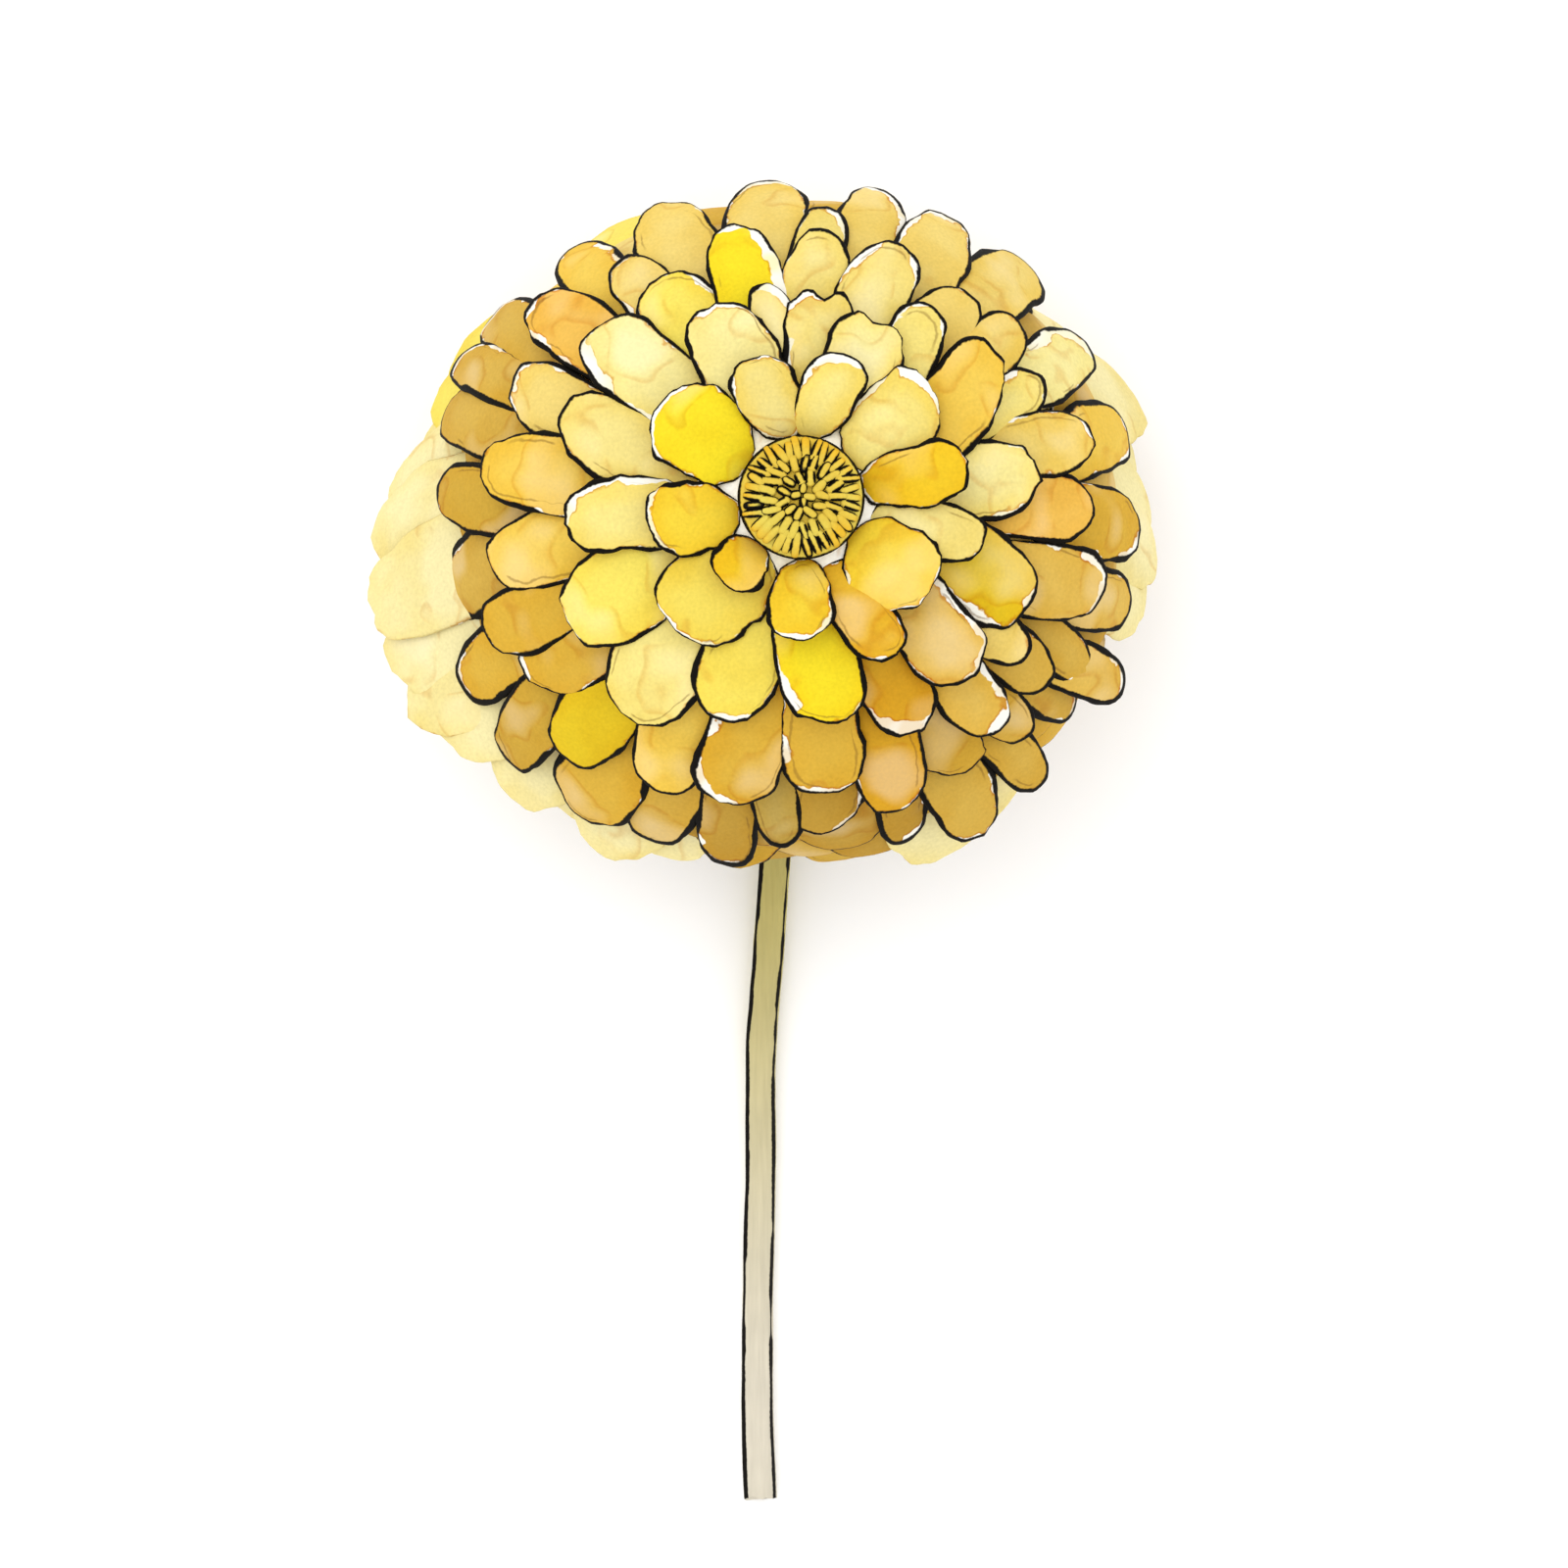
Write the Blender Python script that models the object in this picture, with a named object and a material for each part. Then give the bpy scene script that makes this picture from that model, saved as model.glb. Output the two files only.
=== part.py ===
"""A billy buttons stem, cut and lying down, with its nodding head face up.

The head is a ball of round, overlapping petals on a small core, with a button of tiny
florets in the middle of its face. Each petal is a thin domed blade that starts inside
the core and points away from the button. The neck of the stem bends into the ball's back.

Lengths are in millimetres until new_object turns them into metres. On the ball, a polar
angle is counted from the middle of the face, and an azimuth from +X towards +Y.
"""

import math
import random
from typing import NamedTuple

import bmesh
import bpy
from mathutils import Matrix, Vector

MM = 0.001
SEED = 7
GAP = 0.3
WELD = 0.004
SHARP_FROM = math.radians(35.0)

STRAW = (0.72, 0.62, 0.36)
OCHRE = (0.72, 0.44, 0.10)
LEMON = (0.90, 0.66, 0.10)
GOLD = (0.68, 0.40, 0.04)

# The head, a ball a little flattened from face to back
HEAD_AT = Vector((1.8, 18.2, 17.0))
HEAD_RADIUS = 20.0
HEAD_STRETCH = (1.0, 0.98, 0.92)
FACE_LEAN_RIGHT = math.radians(3.1)
FACE_LEAN_UP = math.radians(4.5)

# The core, which the colours share: the inner petals stand on its top slice
CORE_RADIUS = 16.3
CORE_FINENESS = 3
SLICE_POLAR = math.radians(36.0)
EYE_PAD_HEIGHT = 16.0

# The back of the ball is drawn round to where the neck goes in
BACK_PULL = math.radians(34.0)
BACK_PULL_FROM = math.radians(60.0)

# Petal blades: a blade fills BLADE_SHARE of its sector of the ring, up to its own width
BLADE_ARC = 30.0
BLADE_THICKNESS = 0.7
BLADE_SINK = 1.1
BLADE_DOME = 0.35
BLADE_SHARE = 0.94
BLADE_BEND = 0.4
NARROWEST = 0.35
TIP_PAST_MIDDLE = 8.0
TIP_BOW = 0.04

# How far a petal may be from its even place: degrees, degrees, mm, slope and part of its width
TURN_SPREAD = 1.3
TIP_SPREAD = 1.0
REACH_SPREAD = 0.2
ROLL_SPREAD = 0.05
WIDTH_SPREAD = (0.94, 1.05)

# How far along a blade each row of points lies, and how wide it is there
FINE_ROWS = ((0.0, 0.36), (0.45, 0.9), (0.76, 1.0), (0.93, 0.76), (1.0, 0.44))
PLAIN_ROWS = ((0.0, 0.36), (0.55, 0.96), (0.86, 0.92), (1.0, 0.48))
FINE_COLUMNS = (-1.0, -0.4, 0.4, 1.0)
PLAIN_COLUMNS = (-1.0, 0.0, 1.0)

# The innermost ring is uneven: the azimuth of each petal, from the upper left clockwise
FIRST_RING_AZIMUTHS = (148.0, 109.0, 77.0, 43.5, 9.0, -39.0, -90.0, -131.0, -170.0)

# The long pale petals that show from behind: middle azimuth, half the arc, extra reach
FRINGE = ((196.0, 36.0, 4.3), (246.0, 13.0, 2.0), (300.0, 15.0, 2.0), (352.0, 11.0, 2.2),
          (26.0, 13.0, 2.4), (116.0, 9.0, 1.6), (146.0, 9.0, 1.8))
FRINGE_STEP = 15.5
FRINGE_WIDTH = 6.8
FRINGE_CURL = 1.2
FRINGE_CURL_PER_MM = 0.12
FRINGE_TIP_BACK_PER_MM = 0.9

# The eye, a low dome on a short peg
EYE_RADIUS = 3.6
EYE_PEG_RADIUS = 2.1
EYE_RIM_LOW = 16.75
EYE_RIM_HIGH = 17.4
EYE_TOP = 18.3
EYE_SIDES = 20

# A floret from above, in parts of its length and width, its sunk foot and its narrower crown
FLORET_OUTLINE = ((-0.5, 0.0), (0.22, 0.5), (0.5, 0.0), (0.22, -0.5))
FLORET_SINK = 0.3
FLORET_CROWN = 0.66

# Florets of the eye, ring by ring: count, radius, length, width, height above the dome
EYE_RINGS = (
    (22, 2.95, 1.25, 0.7, 0.25),
    (14, 1.95, 1.0, 0.7, 0.35),
    (7, 1.05, 0.8, 0.7, 0.4),
    (1, 0.0, 0.9, 0.8, 0.4),
)

# The stem's route along the table, from its cut end to inside the core, as its offset
# from the head's middle along X and Y, its height, and its radius
STEM_ROUTE = (
    (-1.45, -55.5, 0.97, 0.96),
    (-1.62, -51.0, 0.93, 0.92),
    (-1.60, -44.0, 0.90, 0.89),
    (-1.46, -37.0, 0.88, 0.87),
    (-1.44, -30.5, 0.88, 0.87),
    (-1.05, -25.0, 0.92, 0.88),
    (-0.68, -20.0, 1.25, 0.86),
    (-0.40, -16.2, 2.00, 0.84),
    (-0.20, -12.8, 3.40, 0.83),
    (-0.05, -9.9, 5.40, 0.82),
    (0.00, -7.6, 8.00, 0.82),
)
STEM_STEPS = 3
STEM_SIDES = 8
STEM_CLEARANCE = 2.3


class Ring(NamedTuple):
    """One ring of petals: polar angle of their visible middles, count, azimuth of the first."""

    polar: float
    count: int
    first: float
    width: float = 5.0
    root: float = None


# From the eye to the neck; the first two rings are rooted close round the eye's peg
RINGS = (
    Ring(18.5, 9, 148.0, width=5.8, root=10.2),
    Ring(32.5, 16, -86.0, root=15.0),
    Ring(48.0, 24, -78.5),
    Ring(64.5, 28, -86.0),
    Ring(81.5, 28, -79.6),
    Ring(98.5, 28, -86.0),
    Ring(115.5, 22, -79.0),
    Ring(132.0, 19, -86.0),
    Ring(148.0, 13, -78.0),
    Ring(163.0, 6, -86.0),
)
INNER_RING_COUNT = 3
FRINGE_RING = 5


class Petal(NamedTuple):
    """Where one blade lies on the ball, with its angles in radians and its sizes in mm."""

    azimuth: float
    root: float
    tip: float
    share: tuple
    width: float
    reach: float
    flare: float
    roll: float


# Placing on the ball


def ball_directions(polar, azimuth):
    """The outward and the sideways direction on the ball, drawn back towards the neck."""
    outward = Vector((math.sin(polar) * math.cos(azimuth), math.sin(polar) * math.sin(azimuth),
                      math.cos(polar)))
    sideways = Vector((-math.sin(azimuth), math.cos(azimuth), 0.0))
    pull = BACK_PULL * max(0.0, polar - BACK_PULL_FROM) / (math.pi - BACK_PULL_FROM)
    turn = Matrix.Rotation(-pull, 3, "X")
    return turn @ outward, turn @ sideways


def head_matrix():
    """Takes a point from the ball's own space, face up and round, to the leaning head."""
    lean = Matrix.Rotation(FACE_LEAN_RIGHT, 4, "Y") @ Matrix.Rotation(-FACE_LEAN_UP, 4, "X")
    return Matrix.Translation(HEAD_AT) @ lean @ Matrix.Diagonal((*HEAD_STRETCH, 1.0))


def fringe_reach(azimuth_degrees):
    """Extra reach of a petal of the fringe ring, which is 0 between the fringe's parts."""
    extra = 0.0
    for middle, half_arc, reach in FRINGE:
        away = abs((azimuth_degrees - middle + 180.0) % 360.0 - 180.0)
        if away < half_arc:
            extra = max(extra, reach * math.cos(0.5 * math.pi * away / half_arc) ** 0.5)
    return extra


def ring_azimuths(number, draw):
    """The azimuths of a ring's petals, clockwise; the fringe's wide ones stand further apart."""
    ring = RINGS[number]
    if number == 0:
        return list(FIRST_RING_AZIMUTHS)
    step = 360.0 / ring.count
    azimuths = []
    azimuth = ring.first
    while azimuth > ring.first - 360.0 + 0.5 * step:
        azimuths.append(azimuth + draw.uniform(-TURN_SPREAD, TURN_SPREAD))
        wide = number == FRINGE_RING and fringe_reach(azimuth - 0.5 * step) > 0.0
        azimuth -= FRINGE_STEP if wide else step
    return azimuths


def ring_petals(number, draw):
    """The petals of one ring, each a little off its even place."""
    ring = RINGS[number]
    azimuths = ring_azimuths(number, draw)
    petals = []
    for k, azimuth in enumerate(azimuths):
        before = (azimuths[k - 1] - azimuth) % 360.0
        after = (azimuth - azimuths[(k + 1) % len(azimuths)]) % 360.0
        tip = ring.polar + TIP_PAST_MIDDLE + draw.uniform(-TIP_SPREAD, TIP_SPREAD)
        root = tip - BLADE_ARC if ring.root is None else ring.root
        extra = fringe_reach(azimuth) if number == FRINGE_RING else 0.0
        petals.append(Petal(
            azimuth=math.radians(azimuth),
            root=math.radians(root),
            tip=math.radians(tip - FRINGE_TIP_BACK_PER_MM * extra),
            share=(math.radians(after), math.radians(before)),
            width=(FRINGE_WIDTH if extra else ring.width) * draw.uniform(*WIDTH_SPREAD),
            reach=HEAD_RADIUS + extra + draw.uniform(-REACH_SPREAD, REACH_SPREAD),
            flare=extra,
            roll=draw.uniform(-ROLL_SPREAD, ROLL_SPREAD),
        ))
    return petals


# Solids


def rise_along(petal, along):
    """Height of a blade's middle layer above its root, from 0 at the root to 1 at the tip."""
    if petal.flare > 0.0:
        return along ** (FRINGE_CURL + FRINGE_CURL_PER_MM * petal.flare)
    return along * (1.0 + BLADE_BEND - BLADE_BEND * along)


def upright_thickness(petal):
    """A blade's thickness measured out of the ball, which is more the steeper it stands."""
    rise = petal.reach - CORE_RADIUS + BLADE_SINK
    run = (petal.tip - petal.root) * 0.5 * (petal.reach + CORE_RADIUS - BLADE_SINK)
    return BLADE_THICKNESS * math.hypot(rise, run) / run


def blade_radius(petal, along):
    """Radius of a blade's middle layer, which starts inside the core."""
    low = CORE_RADIUS - BLADE_SINK
    high = petal.reach - 0.5 * upright_thickness(petal)
    return low + (high - low) * rise_along(petal, along)


def blade_point(petal, along, across, half_width, side):
    """A point on a blade: side is 1 on its face, -1 on its back and 0 halfway between."""
    bowed = along - TIP_BOW * along * across * across
    polar = petal.root + (petal.tip - petal.root) * bowed
    outward, sideways = ball_directions(polar, petal.azimuth)
    offset = across * half_width
    radius = blade_radius(petal, bowed) + 0.5 * side * upright_thickness(petal)
    radius += offset * petal.roll - offset * offset / (2.0 * HEAD_RADIUS)
    radius -= BLADE_DOME * across * across * along
    return outward * radius + sideways * offset


def blade_half_width(petal, along, part, across):
    """Half the width of a blade's row, held inside the petal's share of the ring on each side."""
    polar = petal.root + (petal.tip - petal.root) * along
    share = petal.share[1 if across > 0.0 else 0]
    room = BLADE_SHARE * blade_radius(petal, along) * math.sin(polar) * math.tan(0.5 * share)
    return min(0.5 * petal.width * part, max(room, NARROWEST))


def blade(petal, rows, columns):
    """One closed petal blade, split alike on its face and its back."""
    mesh = bmesh.new()
    layers = []
    for side in (1, -1):
        layers.append([[mesh.verts.new(blade_point(
            petal, along, across, blade_half_width(petal, along, part, across), side))
            for across in columns] for along, part in rows])
    face, back = layers
    for i in range(len(rows) - 1):
        for j in range(len(columns) - 1):
            for layer, order in ((face, 1), (back, -1)):
                a, b = layer[i][j], layer[i][j + 1]
                c, d = layer[i + 1][j + 1], layer[i + 1][j]
                middle = 0.5 * (columns[j] + columns[j + 1])
                halves = ((a, b, c), (a, c, d)) if middle > 0.0 else ((a, b, d), (b, c, d))
                for corner in halves:
                    mesh.faces.new(corner[::order])
    last_row, last_column = len(rows) - 1, len(columns) - 1
    rim = [(0, j) for j in range(last_column)]
    rim += [(i, last_column) for i in range(last_row)]
    rim += [(last_row, j) for j in range(last_column, 0, -1)]
    rim += [(i, 0) for i in range(last_row, 0, -1)]
    for (i, j), (m, n) in zip(rim, rim[1:] + rim[:1]):
        mesh.faces.new((face[m][n], face[i][j], back[i][j]))
        mesh.faces.new((face[m][n], back[i][j], back[m][n]))
    bmesh.ops.recalc_face_normals(mesh, faces=mesh.faces)
    return mesh


def core_part(above):
    """The ball's core above or below the slice where the two colours meet."""
    mesh = bmesh.new()
    bmesh.ops.create_icosphere(mesh, subdivisions=CORE_FINENESS, radius=CORE_RADIUS)
    height = CORE_RADIUS * math.cos(SLICE_POLAR)
    if above:
        cut_flat(mesh, height, keep_above=True)
        cut_flat(mesh, EYE_PAD_HEIGHT, keep_above=False)
    else:
        cut_flat(mesh, height - GAP, keep_above=False)
    return mesh


def cut_flat(mesh, height, keep_above):
    """Cuts a closed mesh level at a height, and closes the cut with one face."""
    everything = mesh.verts[:] + mesh.edges[:] + mesh.faces[:]
    bmesh.ops.bisect_plane(mesh, geom=everything, dist=1e-4, plane_co=(0.0, 0.0, height),
                           plane_no=(0.0, 0.0, 1.0), clear_inner=keep_above,
                           clear_outer=not keep_above)
    open_edges = [edge for edge in mesh.edges if edge.is_boundary]
    bmesh.ops.edgeloop_fill(mesh, edges=open_edges)
    bmesh.ops.recalc_face_normals(mesh, faces=mesh.faces)


def turned(profile, sides):
    """A solid of revolution about Z, from a profile whose ends lie on the axis."""
    mesh = bmesh.new()
    rings = []
    for radius, height in profile:
        count = sides if radius > 0.0 else 1
        rings.append([mesh.verts.new((radius * math.cos(math.tau * k / sides),
                                      radius * math.sin(math.tau * k / sides), height))
                      for k in range(count)])
    for lower, upper in zip(rings, rings[1:]):
        for k in range(sides):
            corners = [lower[k % len(lower)], lower[(k + 1) % len(lower)],
                       upper[(k + 1) % len(upper)], upper[k % len(upper)]]
            mesh.faces.new(list(dict.fromkeys(corners)))
    bmesh.ops.recalc_face_normals(mesh, faces=mesh.faces)
    return mesh


def floret(azimuth, radius, length, width, height):
    """A seed-shaped floret that lies along a radius of the eye, broadest near its outer end."""
    mesh = bmesh.new()
    turn = Matrix.Rotation(azimuth, 4, "Z")
    foot, crown = [], []
    for along, aside in FLORET_OUTLINE:
        place = radius + along * length
        low = Vector((place, aside * width, eye_height(place) - FLORET_SINK))
        high = Vector((radius + FLORET_CROWN * along * length, FLORET_CROWN * aside * width,
                       eye_height(place) + height))
        foot.append(mesh.verts.new(turn @ low))
        crown.append(mesh.verts.new(turn @ high))
    mesh.faces.new(crown)
    mesh.faces.new(foot[::-1])
    for k in range(len(FLORET_OUTLINE)):
        n = (k + 1) % len(FLORET_OUTLINE)
        mesh.faces.new((foot[k], foot[n], crown[n], crown[k]))
    bmesh.ops.recalc_face_normals(mesh, faces=mesh.faces)
    return mesh


def eye_height(radius):
    """Height of the eye's dome at a radius."""
    fall = min(1.0, abs(radius) / EYE_RADIUS)
    return EYE_RIM_HIGH + (EYE_TOP - EYE_RIM_HIGH) * math.sqrt(max(0.0, 1.0 - fall * fall))


def smooth_route(points, steps):
    """Points on a smooth curve through the given ones, with steps points to each span."""
    rows = [Vector(point) for point in points]
    rows = [2.0 * rows[0] - rows[1]] + rows + [2.0 * rows[-1] - rows[-2]]
    route = []
    for before, start, end, after in zip(rows, rows[1:], rows[2:], rows[3:]):
        for step in range(steps):
            t = step / steps
            route.append(0.5 * (2.0 * start + (end - before) * t
                                + (2.0 * before - 5.0 * start + 4.0 * end - after) * t * t
                                + (3.0 * start - before - 3.0 * end + after) * t ** 3))
    return route + [rows[-2]]


def stem_route():
    """The stem's smooth middle line, each point with its radius as a fourth number."""
    return [Vector((HEAD_AT.x + x, HEAD_AT.y + y, z, radius))
            for x, y, z, radius in smooth_route(STEM_ROUTE, STEM_STEPS)]


def tube(route, sides, extra=0.0, longer=0.0):
    """A closed tube along the route, with extra on its radius and a longer inner end."""
    mesh = bmesh.new()
    places = [point.to_3d() for point in route]
    places[-1] = places[-1] + (places[-1] - places[-2]).normalized() * longer
    rings = []
    for k, (place, point) in enumerate(zip(places, route)):
        ahead = (places[min(k + 1, len(places) - 1)] - places[max(k - 1, 0)]).normalized()
        right = ahead.cross(Vector((0.0, 0.0, 1.0))).normalized()
        up = right.cross(ahead)
        radius = point[3] + extra
        rings.append([mesh.verts.new(place + radius * (math.cos(a) * right + math.sin(a) * up))
                      for a in (math.tau * (n + 0.5) / sides for n in range(sides))])
    for lower, upper in zip(rings, rings[1:]):
        for n in range(sides):
            m = (n + 1) % sides
            mesh.faces.new((lower[n], lower[m], upper[m], upper[n]))
    mesh.faces.new(rings[0])
    mesh.faces.new(rings[-1])
    bmesh.ops.recalc_face_normals(mesh, faces=mesh.faces)
    return mesh


def block(low, high):
    """A box between two corners."""
    mesh = bmesh.new()
    bmesh.ops.create_cube(mesh, size=1.0)
    low, high = Vector(low), Vector(high)
    for vert in mesh.verts:
        vert.co = Vector(low[n] if vert.co[n] < 0.0 else high[n] for n in range(3))
    return mesh


# Objects


def new_object(name, mesh, matrix=None):
    """An object from a millimetre mesh, moved by the matrix and turned into metres."""
    if matrix is not None:
        mesh.transform(matrix)
    mesh.transform(Matrix.Scale(MM, 4))
    bmesh.ops.triangulate(mesh, faces=mesh.faces)
    data = bpy.data.meshes.new(name)
    mesh.to_mesh(data)
    mesh.free()
    thing = bpy.data.objects.new(name, data)
    bpy.context.scene.collection.objects.link(thing)
    return thing


def fuse(body, pieces):
    """Joins the pieces, each an object of its own, to the body, and removes them."""
    holder = bpy.data.collections.new(body.name + "_pieces")
    bpy.context.scene.collection.children.link(holder)
    for piece in pieces:
        bpy.context.scene.collection.objects.unlink(piece)
        holder.objects.link(piece)
    joint = body.modifiers.new("fuse", "BOOLEAN")
    joint.operation = "UNION"
    joint.operand_type = "COLLECTION"
    joint.collection = holder
    joint.solver = "EXACT"
    apply_modifiers(body)
    for piece in pieces:
        bpy.data.objects.remove(piece)
    bpy.data.collections.remove(holder)


def carve(body, cutter):
    """Takes the cutter's shape away from the body, and removes the cutter."""
    cut = body.modifiers.new("carve", "BOOLEAN")
    cut.operation = "DIFFERENCE"
    cut.object = cutter
    cut.solver = "EXACT"
    apply_modifiers(body)
    bpy.data.objects.remove(cutter)


def apply_modifiers(body):
    """Replaces the body's mesh by what its modifiers make of it."""
    graph = bpy.context.evaluated_depsgraph_get()
    graph.update()
    result = bpy.data.meshes.new_from_object(body.evaluated_get(graph))
    body.modifiers.clear()
    body.data = result


def connected(vert):
    """All the points that edges join to a point, itself among them."""
    found, border = {vert}, [vert]
    while border:
        here = border.pop()
        for edge in here.link_edges:
            other = edge.other_vert(here)
            if other not in found:
                found.add(other)
                border.append(other)
    return found


def tidy(body):
    """Merges points that a cut left together, and drops the loose scraps of trimmed petals."""
    mesh = bmesh.new()
    mesh.from_mesh(body.data)
    bmesh.ops.triangulate(mesh, faces=mesh.faces)
    bmesh.ops.remove_doubles(mesh, verts=mesh.verts, dist=WELD * MM)
    bmesh.ops.dissolve_degenerate(mesh, edges=mesh.edges, dist=WELD * MM)
    bmesh.ops.triangulate(mesh, faces=mesh.faces)
    islands = []
    unseen = set(mesh.verts)
    while unseen:
        island = connected(next(iter(unseen)))
        unseen -= island
        islands.append(island)
    islands.sort(key=len)
    for scrap in islands[:-1]:
        bmesh.ops.delete(mesh, geom=list(scrap), context="VERTS")
    mesh.to_mesh(body.data)
    mesh.free()


def finish(body, colour, roughness):
    """Gives a node its material, and shades it smooth but for its sharp edges."""
    material = bpy.data.materials.new(body.name)
    material.use_nodes = True
    surface = material.node_tree.nodes["Principled BSDF"]
    surface.inputs["Base Color"].default_value = (*colour, 1.0)
    surface.inputs["Roughness"].default_value = roughness
    surface.inputs["Metallic"].default_value = 0.0
    body.data.materials.clear()
    body.data.materials.append(material)
    body.data.shade_smooth()
    body.data.set_sharp_from_angle(angle=SHARP_FROM)


# Sub-parts


def clears_stem(petal, route):
    """Whether a petal's middle line stays clear of the stem."""
    matrix = head_matrix()
    line = [matrix @ blade_point(petal, 0.2 * step, 0.0, 0.0, 0) for step in range(2, 6)]
    return all((spot - point.to_3d()).length > STEM_CLEARANCE for spot in line for point in route)


def make_stem(route):
    """The stem, which lies on the table and turns up into the back of the head."""
    stem = new_object("stem", tube(route, STEM_SIDES))
    finish(stem, STRAW, 0.7)


def make_inner_petals(draw):
    """The yellow petals of the first rings, on the top slice of the core."""
    matrix = head_matrix()
    body = new_object("inner_petals", core_part(above=True), matrix)
    blades = [new_object("blade", blade(petal, FINE_ROWS, FINE_COLUMNS), matrix)
              for number in range(INNER_RING_COUNT) for petal in ring_petals(number, draw)]
    fuse(body, blades)
    tidy(body)
    finish(body, LEMON, 0.6)


def make_outer_petals(draw, route):
    """The darker petals of the other rings and the back, on the rest of the core."""
    matrix = head_matrix()
    body = new_object("outer_petals", core_part(above=False), matrix)
    blades = [new_object("blade", blade(petal, PLAIN_ROWS, PLAIN_COLUMNS), matrix)
              for number in range(INNER_RING_COUNT, len(RINGS))
              for petal in ring_petals(number, draw) if clears_stem(petal, route)]
    fuse(body, blades)
    wide = 2.0 * HEAD_RADIUS
    below = block((HEAD_AT.x - wide, HEAD_AT.y - wide, -wide), (HEAD_AT.x + wide, HEAD_AT.y + wide, 0.0))
    carve(body, new_object("below_table", below))
    carve(body, new_object("neck_hole", tube(route, STEM_SIDES, extra=GAP, longer=GAP)))
    tidy(body)
    finish(body, OCHRE, 0.6)


def make_eye():
    """The button of florets in the middle of the face, on a peg that stands on the core."""
    matrix = head_matrix()
    low = EYE_PAD_HEIGHT + GAP
    profile = [(0.0, low), (EYE_PEG_RADIUS, low), (EYE_PEG_RADIUS, EYE_RIM_LOW),
               (EYE_RADIUS - 0.25, EYE_RIM_LOW), (EYE_RADIUS, 0.5 * (EYE_RIM_LOW + EYE_RIM_HIGH)),
               (EYE_RADIUS - 0.1, EYE_RIM_HIGH)]
    profile += [(radius, eye_height(radius)) for radius in (0.75 * EYE_RADIUS, 0.4 * EYE_RADIUS)]
    profile.append((0.0, EYE_TOP))
    body = new_object("eye", turned(profile, EYE_SIDES), matrix)
    florets = []
    for count, radius, length, width, height in EYE_RINGS:
        for k in range(count):
            azimuth = math.tau * (k + 0.5 * (count % 2)) / count
            florets.append(new_object("floret", floret(azimuth, radius, length, width, height),
                                      matrix))
    fuse(body, florets)
    tidy(body)
    finish(body, GOLD, 0.7)


def main():
    """Clears the scene and builds the four sub-parts."""
    for thing in list(bpy.data.objects):
        bpy.data.objects.remove(thing)
    route = stem_route()
    draw = random.Random(SEED)
    make_stem(route)
    make_inner_petals(draw)
    make_outer_petals(draw, route)
    make_eye()


main()
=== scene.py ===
"""Dresses the billy buttons stem: washed petals with inked margins, a button eye and a dry stalk.

Each operator makes one piece of the flower, or the stage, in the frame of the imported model.
Lengths are in millimetres until placed() turns a mesh into metres. On the head, a polar
angle is counted from the middle of its face, and an azimuth from +X towards +Y.
"""

import math
import random
from typing import NamedTuple

import bmesh
import bpy
from bpy.props import FloatProperty, FloatVectorProperty, IntProperty, PointerProperty
from mathutils import Matrix, Vector


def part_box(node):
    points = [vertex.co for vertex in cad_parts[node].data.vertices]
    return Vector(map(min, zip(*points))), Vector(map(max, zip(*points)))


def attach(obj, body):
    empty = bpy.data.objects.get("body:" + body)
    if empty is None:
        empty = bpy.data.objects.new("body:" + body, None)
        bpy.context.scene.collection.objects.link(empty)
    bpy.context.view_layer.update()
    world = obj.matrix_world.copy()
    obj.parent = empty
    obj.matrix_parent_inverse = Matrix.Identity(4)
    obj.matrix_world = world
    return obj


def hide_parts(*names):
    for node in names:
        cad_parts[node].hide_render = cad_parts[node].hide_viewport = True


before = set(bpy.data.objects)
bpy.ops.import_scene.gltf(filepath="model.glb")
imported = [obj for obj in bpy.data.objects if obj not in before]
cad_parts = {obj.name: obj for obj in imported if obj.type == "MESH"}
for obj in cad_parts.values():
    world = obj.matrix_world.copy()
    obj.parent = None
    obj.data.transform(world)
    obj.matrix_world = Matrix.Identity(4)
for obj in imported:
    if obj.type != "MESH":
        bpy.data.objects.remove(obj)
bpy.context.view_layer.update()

bl_info = {
    "name": "Billy buttons stem",
    "version": (1, 0, 0),
    "blender": (4, 5, 0),
    "location": "3D View > Sidebar > Flower",
    "description": "Makes the washed petals, the eye and the stalk of a cut flower",
    "category": "Add Mesh",
}

MM = 0.001
SEED = 7

# The head, a ball a little flattened from face to back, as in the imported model
HEAD_AT = Vector((1.8, 18.2, 17.0))
HEAD_RADIUS = 20.0
HEAD_STRETCH = (1.0, 0.98, 0.92)
FACE_LEAN_RIGHT = math.radians(3.1)
FACE_LEAN_UP = math.radians(4.5)
BACK_PULL = math.radians(34.0)
BACK_PULL_FROM = math.radians(60.0)

# The pad that fills the ball under the petals, flat on top where the eye stands; it is nearly
# white there, straw in front and ochre behind, and too far inside a margin to be inked. Its
# near white by the eye is painted light, lighter than a petal's bare colour, to lift the shade
# in the gaps there; the straw and the ochre are painted shade, darker behind, so that the other
# gaps look like shaded bases of petals
PAD_RADIUS = 17.0
PAD_FINENESS = 4
PAD_TOP = 16.1
PAD_TOP_SLOPE = 0.1
PAD_FROM_MARGIN = 5.0
PAD_POOLING = 0.2
PAD_BY_EYE = (1.0, 0.98, 0.91, 1.0)
PAD_BY_EYE_DEPTH = 1.0

# How far out the petals' roots lie, and how far inside the ball their tips end; the roots of
# the filling ring lie on the pad, and the others in it
FACE_LOW = 16.4
BACK_LOW = 16.5
FILL_LOW = 17.2
TIP_IN = 0.3

# How much more steeply than a straight line a petal rises at its root
EARLY_RISE = 0.4

# Petals nearer the eye than this polar angle belong to the inner piece
INNER_TO = math.radians(57.0)

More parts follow.
